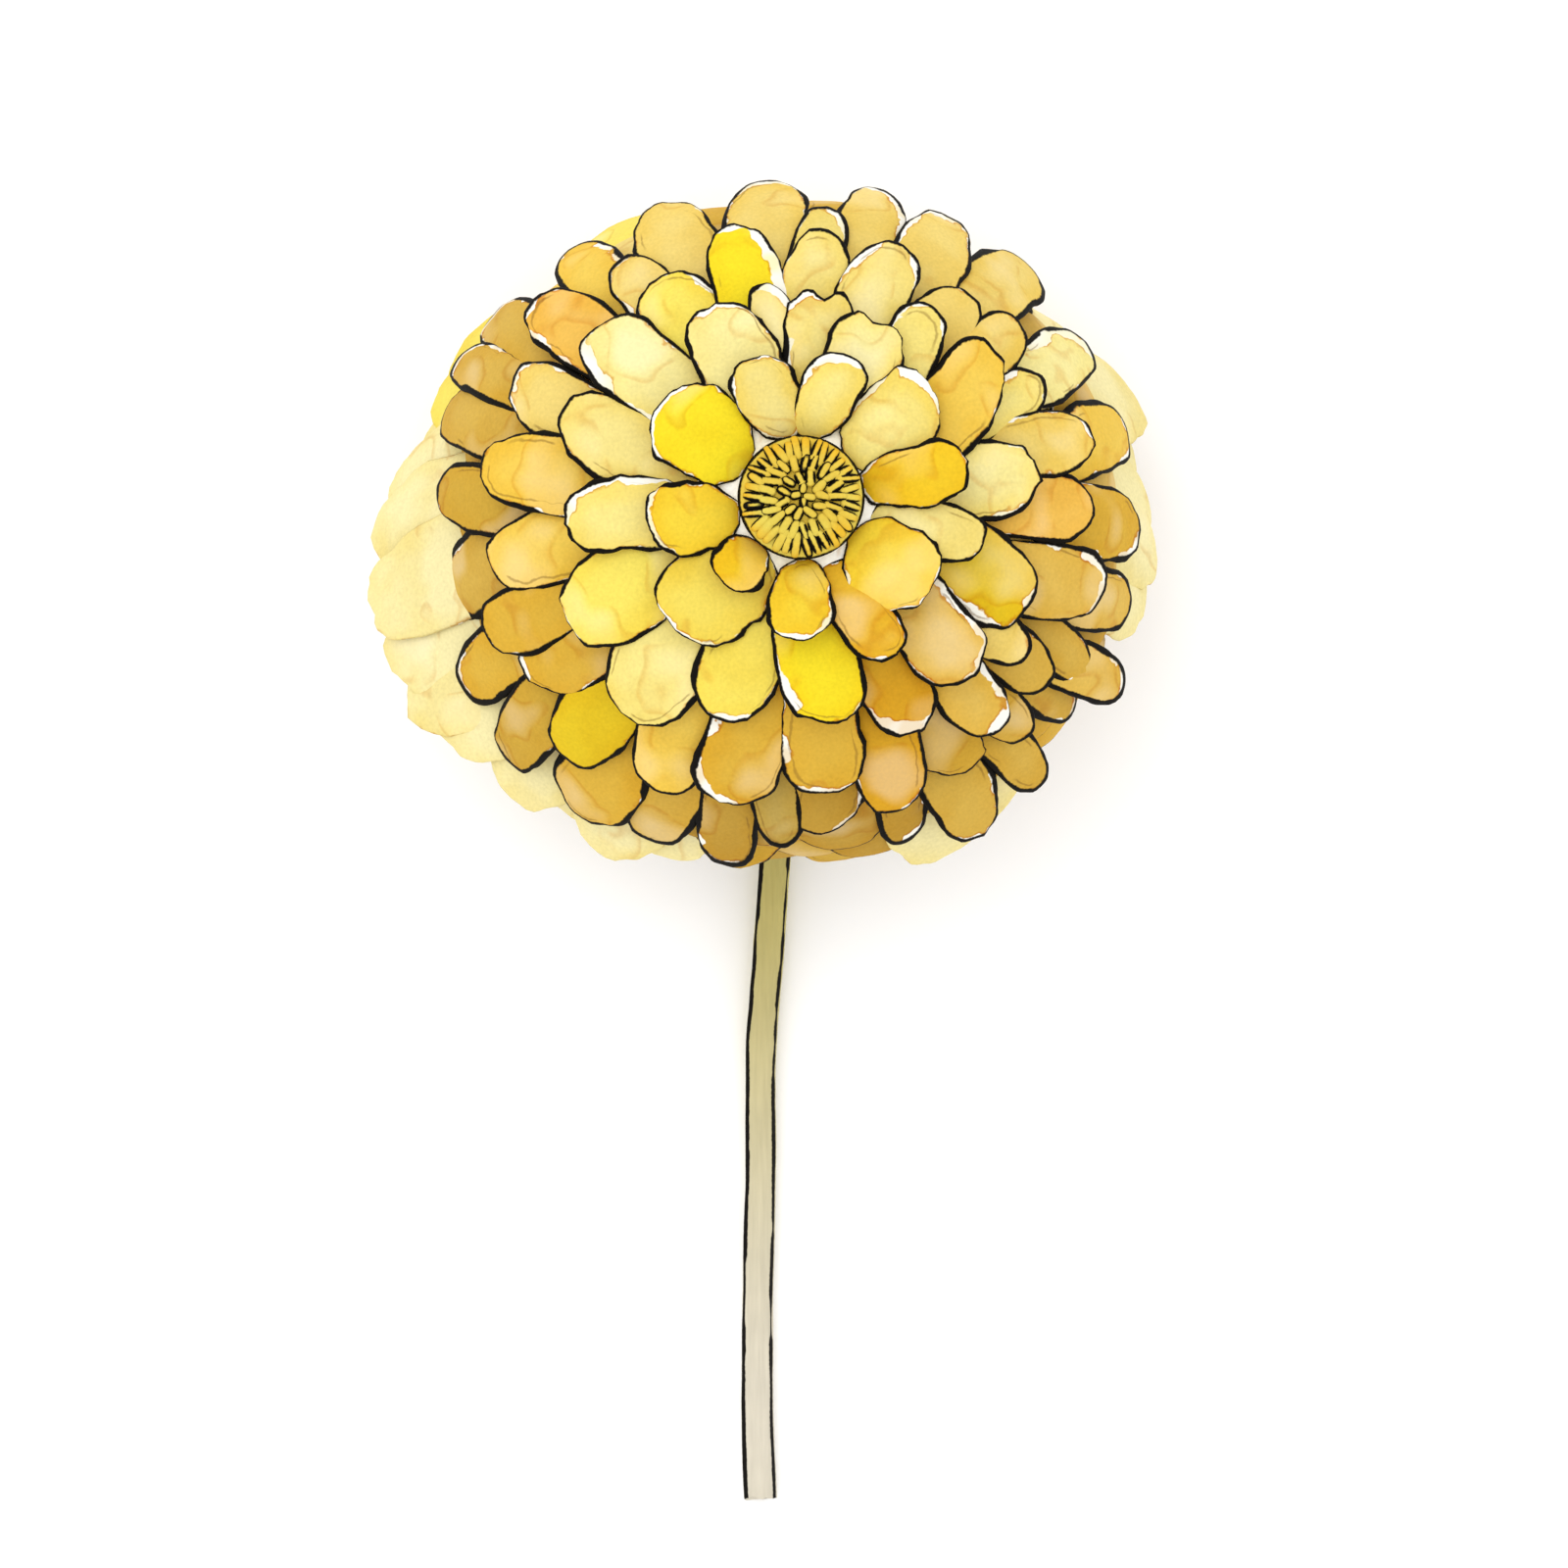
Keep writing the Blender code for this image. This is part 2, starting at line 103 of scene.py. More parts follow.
# A face petal goes on this far under its neighbours, but keeps this part of its distance from
# the face's middle, and never goes past the eye's rim; one shorter than the full arc is lower
UNDER_ARC = math.radians(10.0)
UNDER_PART = 0.72
NEAREST_ROOT = math.radians(12.0)
FULL_ARC = math.radians(12.0)

# The margins get thicker by this part towards the limb, between these polar angles
LIMB_INK = 0.4
LIMB_FROM = math.radians(72.0)
LIMB_TO = math.radians(86.0)

# How neighbours lie over each other, in mm, and within what angle they are neighbours
LIFTS = (0.0, 0.34, -0.3, 0.17)
NEIGHBOUR_ANGLE = math.radians(17.0)

# The table presses the petals and the stem flat below these heights in mm
PETALS_PRESSED = 0.8
STEM_PRESSED = 0.12

# The flat petal and its roundness, before it is bent and sized; its insets are distances from
# its margin in mm, each with a part of its thickness
PETAL_SPOKES = 54
PETAL_ROUNDNESS = (2.6, 2.1)
PETAL_HALF_WIDTH = 2.6
PETAL_LENGTH = 9.0
PETAL_MIDDLE = 0.64
PETAL_INSETS = ((0.09, 0.75), (0.24, 1.0), (0.5, 1.0), (0.95, 1.0))
PETAL_SHRINKS = (0.66, 0.33)
PETAL_HIDDEN_EVERY = 2

# The waves of a petal's margin: their depth in mm, how far in they reach, how close they are,
# and the petal's width and length from which they are whole
WAVINESS = 1.5
FINE_WAVINESS = 0.4
WAVES_REACH = 1.5
WAVES = 1.5
FINE_WAVES = 3.2
WHOLE_WAVES_WIDTH = 4.6
WHOLE_WAVES_RUN = 7.0

# What chance changes from petal to petal: its tilt as a slope, its turn as an angle, the curl
# of its tip in mm, the side of its bare edge, how deep its pools and how heavy its ink are,
# and the place of its mottling
TILT = 0.05
TURN = 0.14
CURL = (0.0, 0.3)
BARE_SIDE = 0.7
POOLING = (0.25, 0.8)
INKING = (0.85, 1.1)
MOTTLING_AT = (0.0, 50.0)

# The part of the petals with no bare edge in the list that get one by chance, and how bare
BARE_PART = 0.45
BARE_EDGE = 0.45

# The stem's route, as its offset from the head's middle along X and Y, its height and radius
STEM_ROUTE = (
    (-1.45, -55.9, 1.0, 0.95),
    (-1.62, -51.0, 0.95, 0.92),
    (-1.60, -44.0, 0.90, 0.89),
    (-1.46, -37.0, 0.88, 0.87),
    (-1.44, -30.5, 0.88, 0.87),
    (-1.05, -25.0, 0.92, 0.88),
    (-0.68, -20.0, 1.25, 0.86),
    (-0.40, -16.2, 2.00, 0.84),
    (-0.20, -12.8, 3.40, 0.83),
    (-0.05, -9.9, 5.40, 0.82),
    (0.00, -7.6, 8.00, 0.82),
)
STEM_STEPS = 14
STEM_CLEARANCE = 2.3

# How far above the stem's widest part its dark lines run, as an angle round it
LINE_ABOVE = math.radians(27.0)

# The stalk's sides, its uneven thickness in mm, and how rough its cut end is
STEM_SIDES = 54
STEM_LUMPS = 0.17
CUT_DEPTH = 0.5
CUT_PART = 0.004

# The eye, a low dome, with how heavily its rim is inked and how deep its wash is
EYE_RADIUS = 3.6
EYE_RIM_LOW = 16.4
EYE_RIM_HIGH = 17.3
EYE_TOP = 18.2
EYE_SIDES = 64
EYE_RIM_INK = 1.05
EYE_DOME_DEPTH = 0.6

# Rings of florets from the rim inwards: count, radius, length, width and height, and the part
# of them with a closed outline; the first ring's count is a setting
FLORET_RINGS = (
    (None, 2.8, 1.45, 0.56, 0.2, 0.2),
    (21, 1.98, 1.3, 0.6, 0.28, 0.25),
    (11, 1.12, 1.0, 0.6, 0.33, 0.6),
    (4, 0.45, 0.75, 0.56, 0.36, 1.0),
)
FLORET_SPOKES = 18
FLORET_ROUNDNESS = (2.6, 2.8)
FLORET_HALF_WIDTH = 0.3
FLORET_LENGTH = 1.3
FLORET_MIDDLE = 0.55
FLORET_INSETS = ((0.04, 0.5), (0.1, 0.85), (0.17, 1.0))

# The stage: the floor, the soft lamp, and the view's middle from the head's middle in mm
FLOOR_REACH = 1.5
FLOOR_COLOUR = (0.96, 0.96, 0.96, 1.0)
LAMP_AT = Vector((-0.25, 0.3, 0.7))
LAMP_SIZE = 0.5
VIEW_MIDDLE = Vector((-0.11, -14.9, 0.0))

# How much the dry surfaces shine, how strong their grain is, and its finest waves per metre
SHINE = 0.06
GRAIN_STRENGTH = 0.6
TOOTH = 5200.0

# Washes as they look beside pure white, from 0 to 255, and how light pure white is here
WASHES = {
    "fringe": (253, 240, 178),
    "cream": (251, 237, 158),
    "pale": (251, 233, 140),
    "lemon": (252, 228, 42),
    "yellow": (252, 231, 102),
    "straw": (246, 227, 140),
    "butter": (246, 222, 96),
    "gold": (247, 214, 62),
    "honey": (243, 201, 40),
    "mustard": (233, 200, 38),
    "sand": (244, 216, 123),
    "amber": (246, 208, 89),
    "orange": (244, 194, 88),
    "saffron": (235, 186, 50),
    "tan": (231, 192, 92),
    "rust": (224, 170, 42),
    "ochre": (226, 182, 66),
    "brown": (219, 179, 78),
    "bronze": (212, 170, 62),
    "khaki": (196, 166, 84),
    "umber": (198, 157, 62),
}
WHITE_LIGHT = 0.715
# The washes of the back from light to dark, picked by its painted shade and by chance
DARKENING = ("pale", "sand", "amber", "tan", "ochre", "brown", "bronze", "umber")


class Shown(NamedTuple):
    """A petal that shows on the face: its middle, width and length from above in mm."""

    x: float
    y: float
    width: float
    length: float
    wash: str
    bare: float = 0.0
    over: float = 0.0
    notch: float = 0.0
    turn: float = 0.0


# The petals of the face, measured from the middle of the head, ring by ring and clockwise;
# their washes darken towards the limb and towards -Y and -X, which is painted shade, on top of
# each petal's own tone
SHOWN_PETALS = (
    # Round the eye
    Shown(-5.0, 5.1, 5.5, 5.4, "lemon"),
    Shown(-1.0, 7.0, 3.8, 5.0, "straw"),
    Shown(2.4, 7.0, 3.6, 4.8, "pale", bare=0.9),
    Shown(6.4, 6.0, 4.9, 5.4, "pale", bare=0.8),
    Shown(7.5, 2.5, 3.9, 5.3, "honey", over=0.3),
    Shown(5.7, -2.3, 5.4, 6.0, "gold"),
    Shown(0.8, -4.4, 3.9, 4.8, "gold", bare=0.6, over=0.3),
    Shown(-2.3, -2.3, 3.4, 3.9, "honey", over=0.25),
    Shown(-5.4, 0.2, 4.4, 5.3, "gold"),
    # The second ring
    Shown(1.9, -9.0, 5.0, 5.0, "lemon", bare=0.9),
    Shown(-2.8, -9.2, 4.7, 5.4, "yellow", bare=0.4),
    Shown(-7.9, -9.0, 6.0, 4.9, "pale"),
    Shown(-4.5, -4.7, 5.8, 5.2, "butter", bare=0.4, over=-0.3),
    Shown(-10.3, -4.4, 5.6, 5.4, "yellow"),
    Shown(-10.1, 0.2, 4.7, 4.4, "pale"),
    Shown(-10.0, 4.6, 4.8, 6.4, "straw", over=-0.2),
    Shown(-8.7, 8.9, 5.0, 5.7, "cream", bare=0.8),
    Shown(-3.2, 10.1, 5.2, 4.3, "cream"),
    Shown(2.1, 10.9, 4.5, 5.0, "straw", notch=0.9),
    Shown(4.7, 9.7, 4.5, 3.7, "cream", over=0.4, notch=0.3),
    Shown(10.4, 7.1, 4.8, 4.7, "amber", over=0.3, turn=-18.0),
    Shown(13.2, 7.0, 3.4, 4.4, "pale", bare=0.7, over=-0.2),
    Shown(12.1, 2.2, 4.8, 4.9, "cream", bare=0.3),
    Shown(9.3, -0.8, 3.5, 4.0, "straw"),
    Shown(11.9, -3.2, 5.3, 5.4, "mustard", bare=0.6),
    Shown(4.8, -6.1, 3.6, 3.9, "saffron", bare=0.7, over=0.9),
    Shown(8.8, -6.8, 4.7, 4.7, "tan", bare=0.4),
    Shown(6.5, -10.2, 4.5, 4.8, "rust", bare=0.9),
    # The third ring
    Shown(2.1, -13.5, 4.7, 4.3, "ochre", bare=0.4),
    Shown(-2.5, -13.8, 5.0, 4.7, "ochre", bare=0.6),
    Shown(-7.0, -13.3, 4.7, 5.0, "amber"),
    Shown(-11.4, -12.0, 4.7, 4.3, "mustard"),
    Shown(-13.1, -8.4, 4.6, 4.5, "ochre"),
    Shown(-15.0, -5.8, 4.1, 4.3, "ochre"),
    Shown(-14.8, -1.8, 4.7, 4.7, "amber"),
    Shown(-14.7, 2.7, 4.6, 4.9, "amber"),
    Shown(-13.8, 6.8, 4.4, 4.7, "sand", bare=0.6),
    Shown(-6.3, 12.1, 5.0, 4.8, "yellow", bare=0.5),
    Shown(-2.5, 14.4, 4.2, 4.2, "lemon", bare=0.7),
    Shown(-0.7, 11.9, 2.8, 3.6, "straw", over=-0.5),
    Shown(1.6, 14.7, 3.9, 3.6, "straw"),
    Shown(5.2, 13.6, 4.2, 4.4, "straw", bare=0.6),
    Shown(7.6, 10.5, 3.5, 3.2, "pale"),
    Shown(9.2, 11.9, 3.9, 3.6, "sand"),
    Shown(12.3, 10.2, 3.5, 3.1, "sand"),
    Shown(15.3, 8.7, 4.2, 4.4, "cream", bare=0.8),
    Shown(15.2, 4.5, 3.9, 3.9, "sand"),
    Shown(15.5, 0.8, 4.4, 3.8, "orange"),
    Shown(16.0, -3.9, 4.6, 3.8, "tan"),
    Shown(12.5, -7.1, 3.2, 3.0, "sand"),
    Shown(10.8, -10.4, 3.8, 3.6, "tan", bare=0.5),
    Shown(13.8, -8.4, 3.6, 3.6, "brown"),
    Shown(9.5, -13.5, 4.4, 3.6, "bronze"),
    Shown(5.9, -14.3, 4.2, 4.4, "rust"),
    Shown(12.8, -11.8, 3.1, 2.8, "brown"),
    # The fourth ring, at the edge of what shows from above
    Shown(-11.0, -15.7, 5.2, 3.9, "ochre"),
    Shown(-14.7, -12.1, 4.2, 4.3, "bronze"),
    Shown(-16.6, -8.6, 4.1, 3.4, "ochre"),
    Shown(-18.1, -3.5, 4.7, 3.1, "brown"),
    Shown(-18.0, 0.8, 4.2, 3.3, "bronze"),
    Shown(-17.9, 5.2, 4.1, 3.6, "brown"),
    Shown(-17.3, 8.1, 3.5, 3.0, "brown"),
    Shown(-15.8, 10.6, 4.2, 3.6, "brown"),
    Shown(-12.4, 11.1, 4.4, 3.7, "orange"),
    Shown(-11.3, 13.8, 3.8, 3.6, "amber"),
    Shown(-8.4, 13.6, 3.6, 3.4, "sand", over=-0.2),
    Shown(-6.4, 16.1, 4.6, 3.2, "sand"),
    Shown(-1.4, 17.7, 4.8, 3.0, "sand"),
    Shown(1.9, 17.0, 3.3, 2.2, "straw"),
    Shown(4.9, 17.3, 4.2, 2.8, "sand"),
    Shown(8.5, 15.5, 4.6, 3.2, "sand"),
    Shown(12.5, 13.5, 4.4, 3.4, "sand"),
    Shown(17.9, 4.2, 4.5, 3.2, "amber"),
    Shown(18.3, -0.6, 4.5, 3.2, "ochre"),
    Shown(16.3, -8.1, 3.1, 2.7, "brown"),
    Shown(18.4, -5.4, 4.0, 2.6, "tan"),
    Shown(17.5, -9.6, 3.4, 2.6, "tan"),
    Shown(15.2, -10.8, 3.1, 2.6, "brown"),
    Shown(13.0, -14.3, 3.1, 2.6, "brown"),
    Shown(9.5, -15.9, 4.1, 2.4, "umber"),
    Shown(10.2, -17.0, 4.2, 2.6, "brown"),
    Shown(6.5, -17.4, 3.2, 2.8, "umber"),
    Shown(2.4, -17.0, 4.4, 3.0, "umber"),
    Shown(-0.8, -17.4, 3.0, 3.0, "khaki", over=0.3),
    Shown(-3.6, -17.7, 3.7, 3.6, "umber"),
    Shown(-7.2, -17.0, 4.4, 3.4, "brown"),
)


class Ring(NamedTuple):
    """One ring of the back: polar angle of its petals' middles, count, azimuth of the first."""

    polar: float
    count: int
    first: float
    sunk: float = 0.0


# The back, from behind the petals that show to the neck; the fringe is in the first ring, and
# the last one fills in under the petals of the limb
BACK_RINGS = (
    Ring(98.5, 28, -86.0),
    Ring(115.5, 22, -79.0),
    Ring(132.0, 19, -86.0),
    Ring(148.0, 13, -78.0),
    Ring(163.0, 6, -86.0),
    Ring(87.0, 25, -80.0, 0.8),
)
BACK_ARC = 30.0
BACK_WIDEST = 5.4
BACK_OVERLAP = 1.16
BACK_WIDTHS = (0.94, 1.06)
TIP_PAST_MIDDLE = 8.0
TURN_SPREAD = 1.6
TIP_SPREAD = 1.2

# How dark the back is from 0 to 1, how much darker its shaded side is, that side's azimuth,
# and how much chance adds; the darkness, deepest on the shaded side, is painted shade, and
# chance adds each petal's own tone
DARK = 0.62
PAINTED_SHADE_SWING = 0.3
PAINTED_SHADE_SIDE = -100.0
DARK_SPREAD = 0.2

# The long pale petals that show from behind: middle azimuth, half the arc, extra reach, wash
FRINGE = (
    (194.0, 38.0, 4.4, "fringe"),
    (240.0, 11.0, 1.7, "fringe"),
    (299.0, 12.0, 1.5, "fringe"),
    (358.0, 13.0, 2.3, "fringe"),
    (27.0, 19.0, 2.9, "fringe"),
    (112.0, 8.0, 2.5, "yellow"),
    (148.0, 12.0, 2.7, "yellow"),
)
FRINGE_STEP = 8.6
FRINGE_WIDTH = 6.4
FRINGE_POOLING = 0.35
FRINGE_CURL = 1.2
FRINGE_CURL_PER_MM = 0.12
FRINGE_TIP_BACK_PER_MM = 0.9


class Petal(NamedTuple):
    """One blade on the ball: angles in radians, sizes in mm, and what its finish needs."""

    azimuth: float
    root: float
    tip: float
    width: float
    low: float
    reach: float
    power: float
    roll: float
    turn: float
    notch: float
    curl: float
    bare: float
    bare_side: float
    pool: float
    ink: float
    seed: float
    wash: tuple


# Settings


class HeadSettings(bpy.types.PropertyGroup):
    """Sizes and colours of the petals."""

    thickness: FloatProperty(
        name="Petal thickness", description="Thickness of a petal", subtype="DISTANCE",
        default=0.3 * MM, min=0.1 * MM, max=0.7 * MM)
    dome: FloatProperty(
        name="Petal dome", description="How far a petal's margins lie below its middle",
        subtype="DISTANCE", default=0.42 * MM, min=0.0, max=1.0 * MM)
    ink_width: FloatProperty(
        name="Margin width", description="Width of the dark margin", subtype="DISTANCE",
        default=0.235 * MM, min=0.0, max=0.6 * MM)
    ink: FloatVectorProperty(
        name="Margin colour", description="Colour of the dark margin", subtype="COLOR",
        size=3, default=(0.004, 0.003, 0.002), min=0.0, max=1.0)
    sketch: FloatVectorProperty(
        name="Fine line colour", description="Colour of the fine broken line inside some margins",
        subtype="COLOR", size=3, default=(0.16, 0.08, 0.015), min=0.0, max=1.0)
    bare: FloatVectorProperty(
        name="Bare colour", description="Colour where a petal has no wash", subtype="COLOR",
        size=3, default=(0.76, 0.74, 0.66), min=0.0, max=1.0)
    pool: FloatVectorProperty(
        name="Pool tint", description="What tints a wash where it has pooled",
        subtype="COLOR", size=3, default=(1.0, 0.9, 0.55), min=0.0, max=1.0)
    tide: FloatVectorProperty(
        name="Drying line tint", description="What tints the fine line round a dried wash",
        subtype="COLOR", size=3, default=(0.72, 0.40, 0.14), min=0.0, max=1.0)


class EyeSettings(bpy.types.PropertyGroup):
    """Sizes and colours of the eye."""

    outer_count: IntProperty(
        name="Outer florets", description="Number of florets in the outer ring",
        default=34, min=12, max=40)
    ink_width: FloatProperty(
        name="Floret margin", description="Width of the dark margin of a floret",
        subtype="DISTANCE", default=0.142 * MM, min=0.0, max=0.3 * MM)
    wash: FloatVectorProperty(
        name="Floret colour", description="Colour of the florets", subtype="COLOR",
        size=3, default=(0.58, 0.475, 0.078), min=0.0, max=1.0)
    pool: FloatVectorProperty(
        name="Rim tint", description="What tints the florets towards the eye's rim",
        subtype="COLOR", size=3, default=(1.13, 0.82, 0.3), min=0.0, max=2.0)


class StemSettings(bpy.types.PropertyGroup):
    """Sizes and colours of the stem."""

    ribs: IntProperty(
        name="Ribs", description="Number of fine ribs round the stalk", default=9, min=3, max=20)
    rib_height: FloatProperty(
        name="Rib height", description="Height of the ribs", subtype="DISTANCE",
        default=0.02 * MM, min=0.0, max=0.1 * MM)
    line_width: FloatProperty(
        name="Line width", description="Half the width of the dark line on each side",
        subtype="DISTANCE", default=0.235 * MM, min=0.0, max=0.5 * MM)
    top_colour: FloatVectorProperty(
        name="Upper colour", description="Colour of the stalk under the head", subtype="COLOR",
        size=3, default=(0.45, 0.385, 0.12), min=0.0, max=1.0)
    end_colour: FloatVectorProperty(
        name="Lower colour", description="Colour of the stalk at its cut end", subtype="COLOR",
        size=3, default=(0.535, 0.49, 0.395), min=0.0, max=1.0)


class StageSettings(bpy.types.PropertyGroup):
    """The floor, the light and the camera."""

    frame_width: FloatProperty(
        name="Width in view", description="Width of the view at the middle of the head",
        subtype="DISTANCE", default=88.9 * MM, min=0.04, max=1.0)
    distance: FloatProperty(
        name="Camera height", description="Height of the camera above the head's middle",
        subtype="DISTANCE", default=2.5, min=0.3, max=5.0)
    sky: FloatProperty(
        name="Sky light", description="Strength of the even light",
        default=1.35, min=0.0, max=3.0)
    lamp: FloatProperty(
        name="Lamp", description="Power of the soft lamp in watts", subtype="POWER",
        default=1.2, min=0.0, max=50.0)


# Node trees


class Signal:
    """A number inside a node tree; arithmetic on it adds Math nodes."""

    def __init__(self, tree, socket):
        self.tree = tree
        self.socket = socket

    def math(self, operation, *others):
        node = self.tree.nodes.new("ShaderNodeMath")
        node.operation = operation
        for slot, item in zip(node.inputs, (self, *others)):
            feed(self.tree, slot, item)
        return Signal(self.tree, node.outputs[0])

    def __add__(self, other):
        return self.math("ADD", other)

    def __sub__(self, other):
        return self.math("SUBTRACT", other)

    def __rsub__(self, other):
        return self.math("MULTIPLY_ADD", -1.0, other)

    def __mul__(self, other):
        return self.math("MULTIPLY", other)

    def __truediv__(self, other):
        return self.math("DIVIDE", other)

    def __pow__(self, other):
        return self.math("POWER", other)

    __rmul__ = __mul__


def feed(tree, slot, item):
    """Links a signal or a socket to a node's input, or sets the input to a plain value."""
    if isinstance(item, Signal):
        tree.links.new(item.socket, slot)
    elif isinstance(item, bpy.types.NodeSocket):
        tree.links.new(item, slot)
    else:
        slot.default_value = item


def add(tree, kind, inputs=None, **settings):
    """Adds a node, sets its properties, and feeds its inputs by name or number."""
    node = tree.nodes.new(kind)
    for name, value in settings.items():
        setattr(node, name, value)
    for name, item in (inputs or {}).items():
        feed(tree, node.inputs[name], item)
    return node


def ease(signal, start, end):
    """Smoothly from 0 where the signal is at start to 1 where it is at end."""
    node = add(signal.tree, "ShaderNodeMapRange",
               {"Value": signal, "From Min": start, "From Max": end},
               interpolation_type="SMOOTHSTEP")
    return Signal(signal.tree, node.outputs["Result"])


def band(signal, start, full, end):
    """Smoothly from 0 where the signal is at start to 1 at full, and back to 0 at end."""
    return ease(signal, start, full) * (1.0 - ease(signal, full, end))


def vector(tree, x, y, z):
    """A vector from three numbers or signals."""
    node = add(tree, "ShaderNodeCombineXYZ", {"X": x, "Y": y, "Z": z})
    return node.outputs["Vector"]


def noise(tree, place, scale, detail=2.0, seed=0.0):
    """Smooth noise, near 0.5 in the middle of its range."""
    node = add(tree, "ShaderNodeTexNoise",
               {"Vector": place, "W": seed, "Scale": scale, "Detail": detail},
               noise_dimensions="4D")
    return Signal(tree, node.outputs[0])


def scaled(tree, item, factor):
    """A colour or a vector times a number."""
    node = add(tree, "ShaderNodeVectorMath", {0: item, "Scale": factor}, operation="SCALE")
    return node.outputs["Vector"]


def mixed(tree, part, low, high, blend_type="MIX"):
    """A colour between two colours."""
    node = add(tree, "ShaderNodeMix", {0: part, 6: low, 7: high},
               data_type="RGBA", blend_type=blend_type)
    return node.outputs[2]


def socket_kind(default):
    """The kind of socket that holds a default value."""
    if isinstance(default, float):
        return "NodeSocketFloat"
    return "NodeSocketColor" if len(default) == 4 else "NodeSocketVector"


def shader_group(name, inputs, outputs):
    """A shader node group with named inputs and outputs, and its two end nodes."""
    tree = bpy.data.node_groups.new(name, "ShaderNodeTree")
    for label, default in inputs.items():
        kind = socket_kind(default)
        socket = tree.interface.new_socket(label, in_out="INPUT", socket_type=kind)
        socket.default_value = default
    for label, kind in outputs.items():
        tree.interface.new_socket(label, in_out="OUTPUT", socket_type=kind)
    ends = tree.nodes.new("NodeGroupInput"), tree.nodes.new("NodeGroupOutput")
    return tree, *ends


def geometry_tree(name, inputs):
    """A geometry node tree with named inputs besides its geometry, and its two end nodes."""
    tree = bpy.data.node_groups.new(name, "GeometryNodeTree")
    tree.interface.new_socket("Geometry", in_out="INPUT", socket_type="NodeSocketGeometry")
    tree.interface.new_socket("Geometry", in_out="OUTPUT", socket_type="NodeSocketGeometry")
    for label, kind in inputs.items():
        tree.interface.new_socket(label, in_out="INPUT", socket_type=kind)
    return tree, tree.nodes.new("NodeGroupInput"), tree.nodes.new("NodeGroupOutput")


def knobs(tree, start):
    """A function that gives a named input of a tree as a signal."""
    def knob(name):
        return Signal(tree, start.outputs[name])
    return knob


def reader(tree):
    """A function that reads a named number of the geometry."""
    def read(name):
        node = add(tree, "GeometryNodeInputNamedAttribute", {"Name": name}, data_type="FLOAT")
        return Signal(tree, node.outputs["Attribute"])
    return read


def copies(tree, start, label):
    """A real copy of the object in a tree's input at each point that the tree gets."""
    source = add(tree, "GeometryNodeObjectInfo", {"Object": start.outputs[label]})
    dots = add(tree, "GeometryNodeInstanceOnPoints", {
        "Points": start.outputs["Geometry"], "Instance": source.outputs["Geometry"]})
    real = add(tree, "GeometryNodeRealizeInstances", {"Geometry": dots.outputs["Instances"]})
    return real.outputs["Geometry"]


def stored(tree, geometry, name, value, data_type="FLOAT"):
    """The geometry with a named value on each of its points."""
    node = add(tree, "GeometryNodeStoreNamedAttribute",
               {"Geometry": geometry, "Name": name, "Value": value},
               data_type=data_type, domain="POINT")
    return node.outputs["Geometry"]


def moved(tree, geometry, **places):
    """The geometry with its points at a new Position, or moved by an Offset."""
    node = add(tree, "GeometryNodeSetPosition", {"Geometry": geometry, **places})
    return node.outputs["Geometry"]


def joined(tree, geometry, start, label):
    """The geometry together with the object in a tree's input."""
    other = add(tree, "GeometryNodeObjectInfo", {"Object": start.outputs[label]})
    both = add(tree, "GeometryNodeJoinGeometry")
    for item in (geometry, other.outputs["Geometry"]):
        tree.links.new(item, both.inputs[0])
    return both.outputs["Geometry"]


def end_tree(tree, geometry, start, end):
    """Ends a tree with real geometry in the finish of its input."""
    whole = add(tree, "GeometryNodeRealizeInstances", {"Geometry": geometry})
    finish = add(tree, "GeometryNodeSetMaterial",
                 {"Geometry": whole.outputs["Geometry"], "Material": start.outputs["Finish"]})
    tree.links.new(finish.outputs["Geometry"], end.inputs["Geometry"])


def grow(name, mesh, tree, inputs):
    """Runs a geometry tree on a mesh of points, and gives the plain mesh that it makes."""
    thing = bpy.data.objects.new(name, mesh)
    bpy.context.scene.collection.objects.link(thing)
    modifier = thing.modifiers.new("grow", "NODES")
    modifier.node_group = tree
    for item in tree.interface.items_tree:
        if item.item_type == "SOCKET" and item.in_out == "INPUT" and item.name in inputs:
            modifier[item.identifier] = inputs[item.name]
    graph = bpy.context.evaluated_depsgraph_get()
    graph.update()
    result = bpy.data.meshes.new_from_object(
        thing.evaluated_get(graph), preserve_all_data_layers=True, depsgraph=graph)
    thing.modifiers.clear()
    thing.data = result
    result.name = name
    if not result.polygons:
        raise RuntimeError(f"{name} came out empty")
    return thing


# Shader groups and finishes


def washed(red, green, blue):
    """The surface colour that looks like this one in the stage's light, given from 0 to 255."""
    def linear(level):
        return WHITE_LIGHT * ((level / 255.0 + 0.055) / 1.055) ** 2.4
    return (linear(red), linear(green), linear(blue), 1.0)


def opaque(colour):
    """A setting's colour for a colour socket."""
    return (*colour, 1.0)


def ink_group():
    """Shader group: a drawn line along a margin, uneven in width and broken here and there."""
    tree, start, end = shader_group(
        "drawn_line",
        {"Place": (0.0, 0.0, 0.0), "Distance": 1.0, "Width": 0.28, "Unevenness": 0.5,
         "Breaks": 0.3},
        {"Line": "NodeSocketFloat"})
    knob, place = knobs(tree, start), start.outputs["Place"]
    width = knob("Width")
    swell = noise(tree, place, 420.0, 2.0) - 0.5
    rough = noise(tree, place, TOOTH, 1.0, seed=3.0) - 0.5
    here = width * (swell * knob("Unevenness") * 2.2 + 1.0) + rough * 0.10
    gap = ease(noise(tree, place, 330.0, 1.0, seed=9.0), 0.32, 0.44)
    kept = 1.0 - (1.0 - gap) * knob("Breaks")
    line = (1.0 - ease(knob("Distance") - here * kept, -0.035, 0.045)) * ease(width, 0.01, 0.06)
    tree.links.new(line.socket, end.inputs["Line"])
    return tree


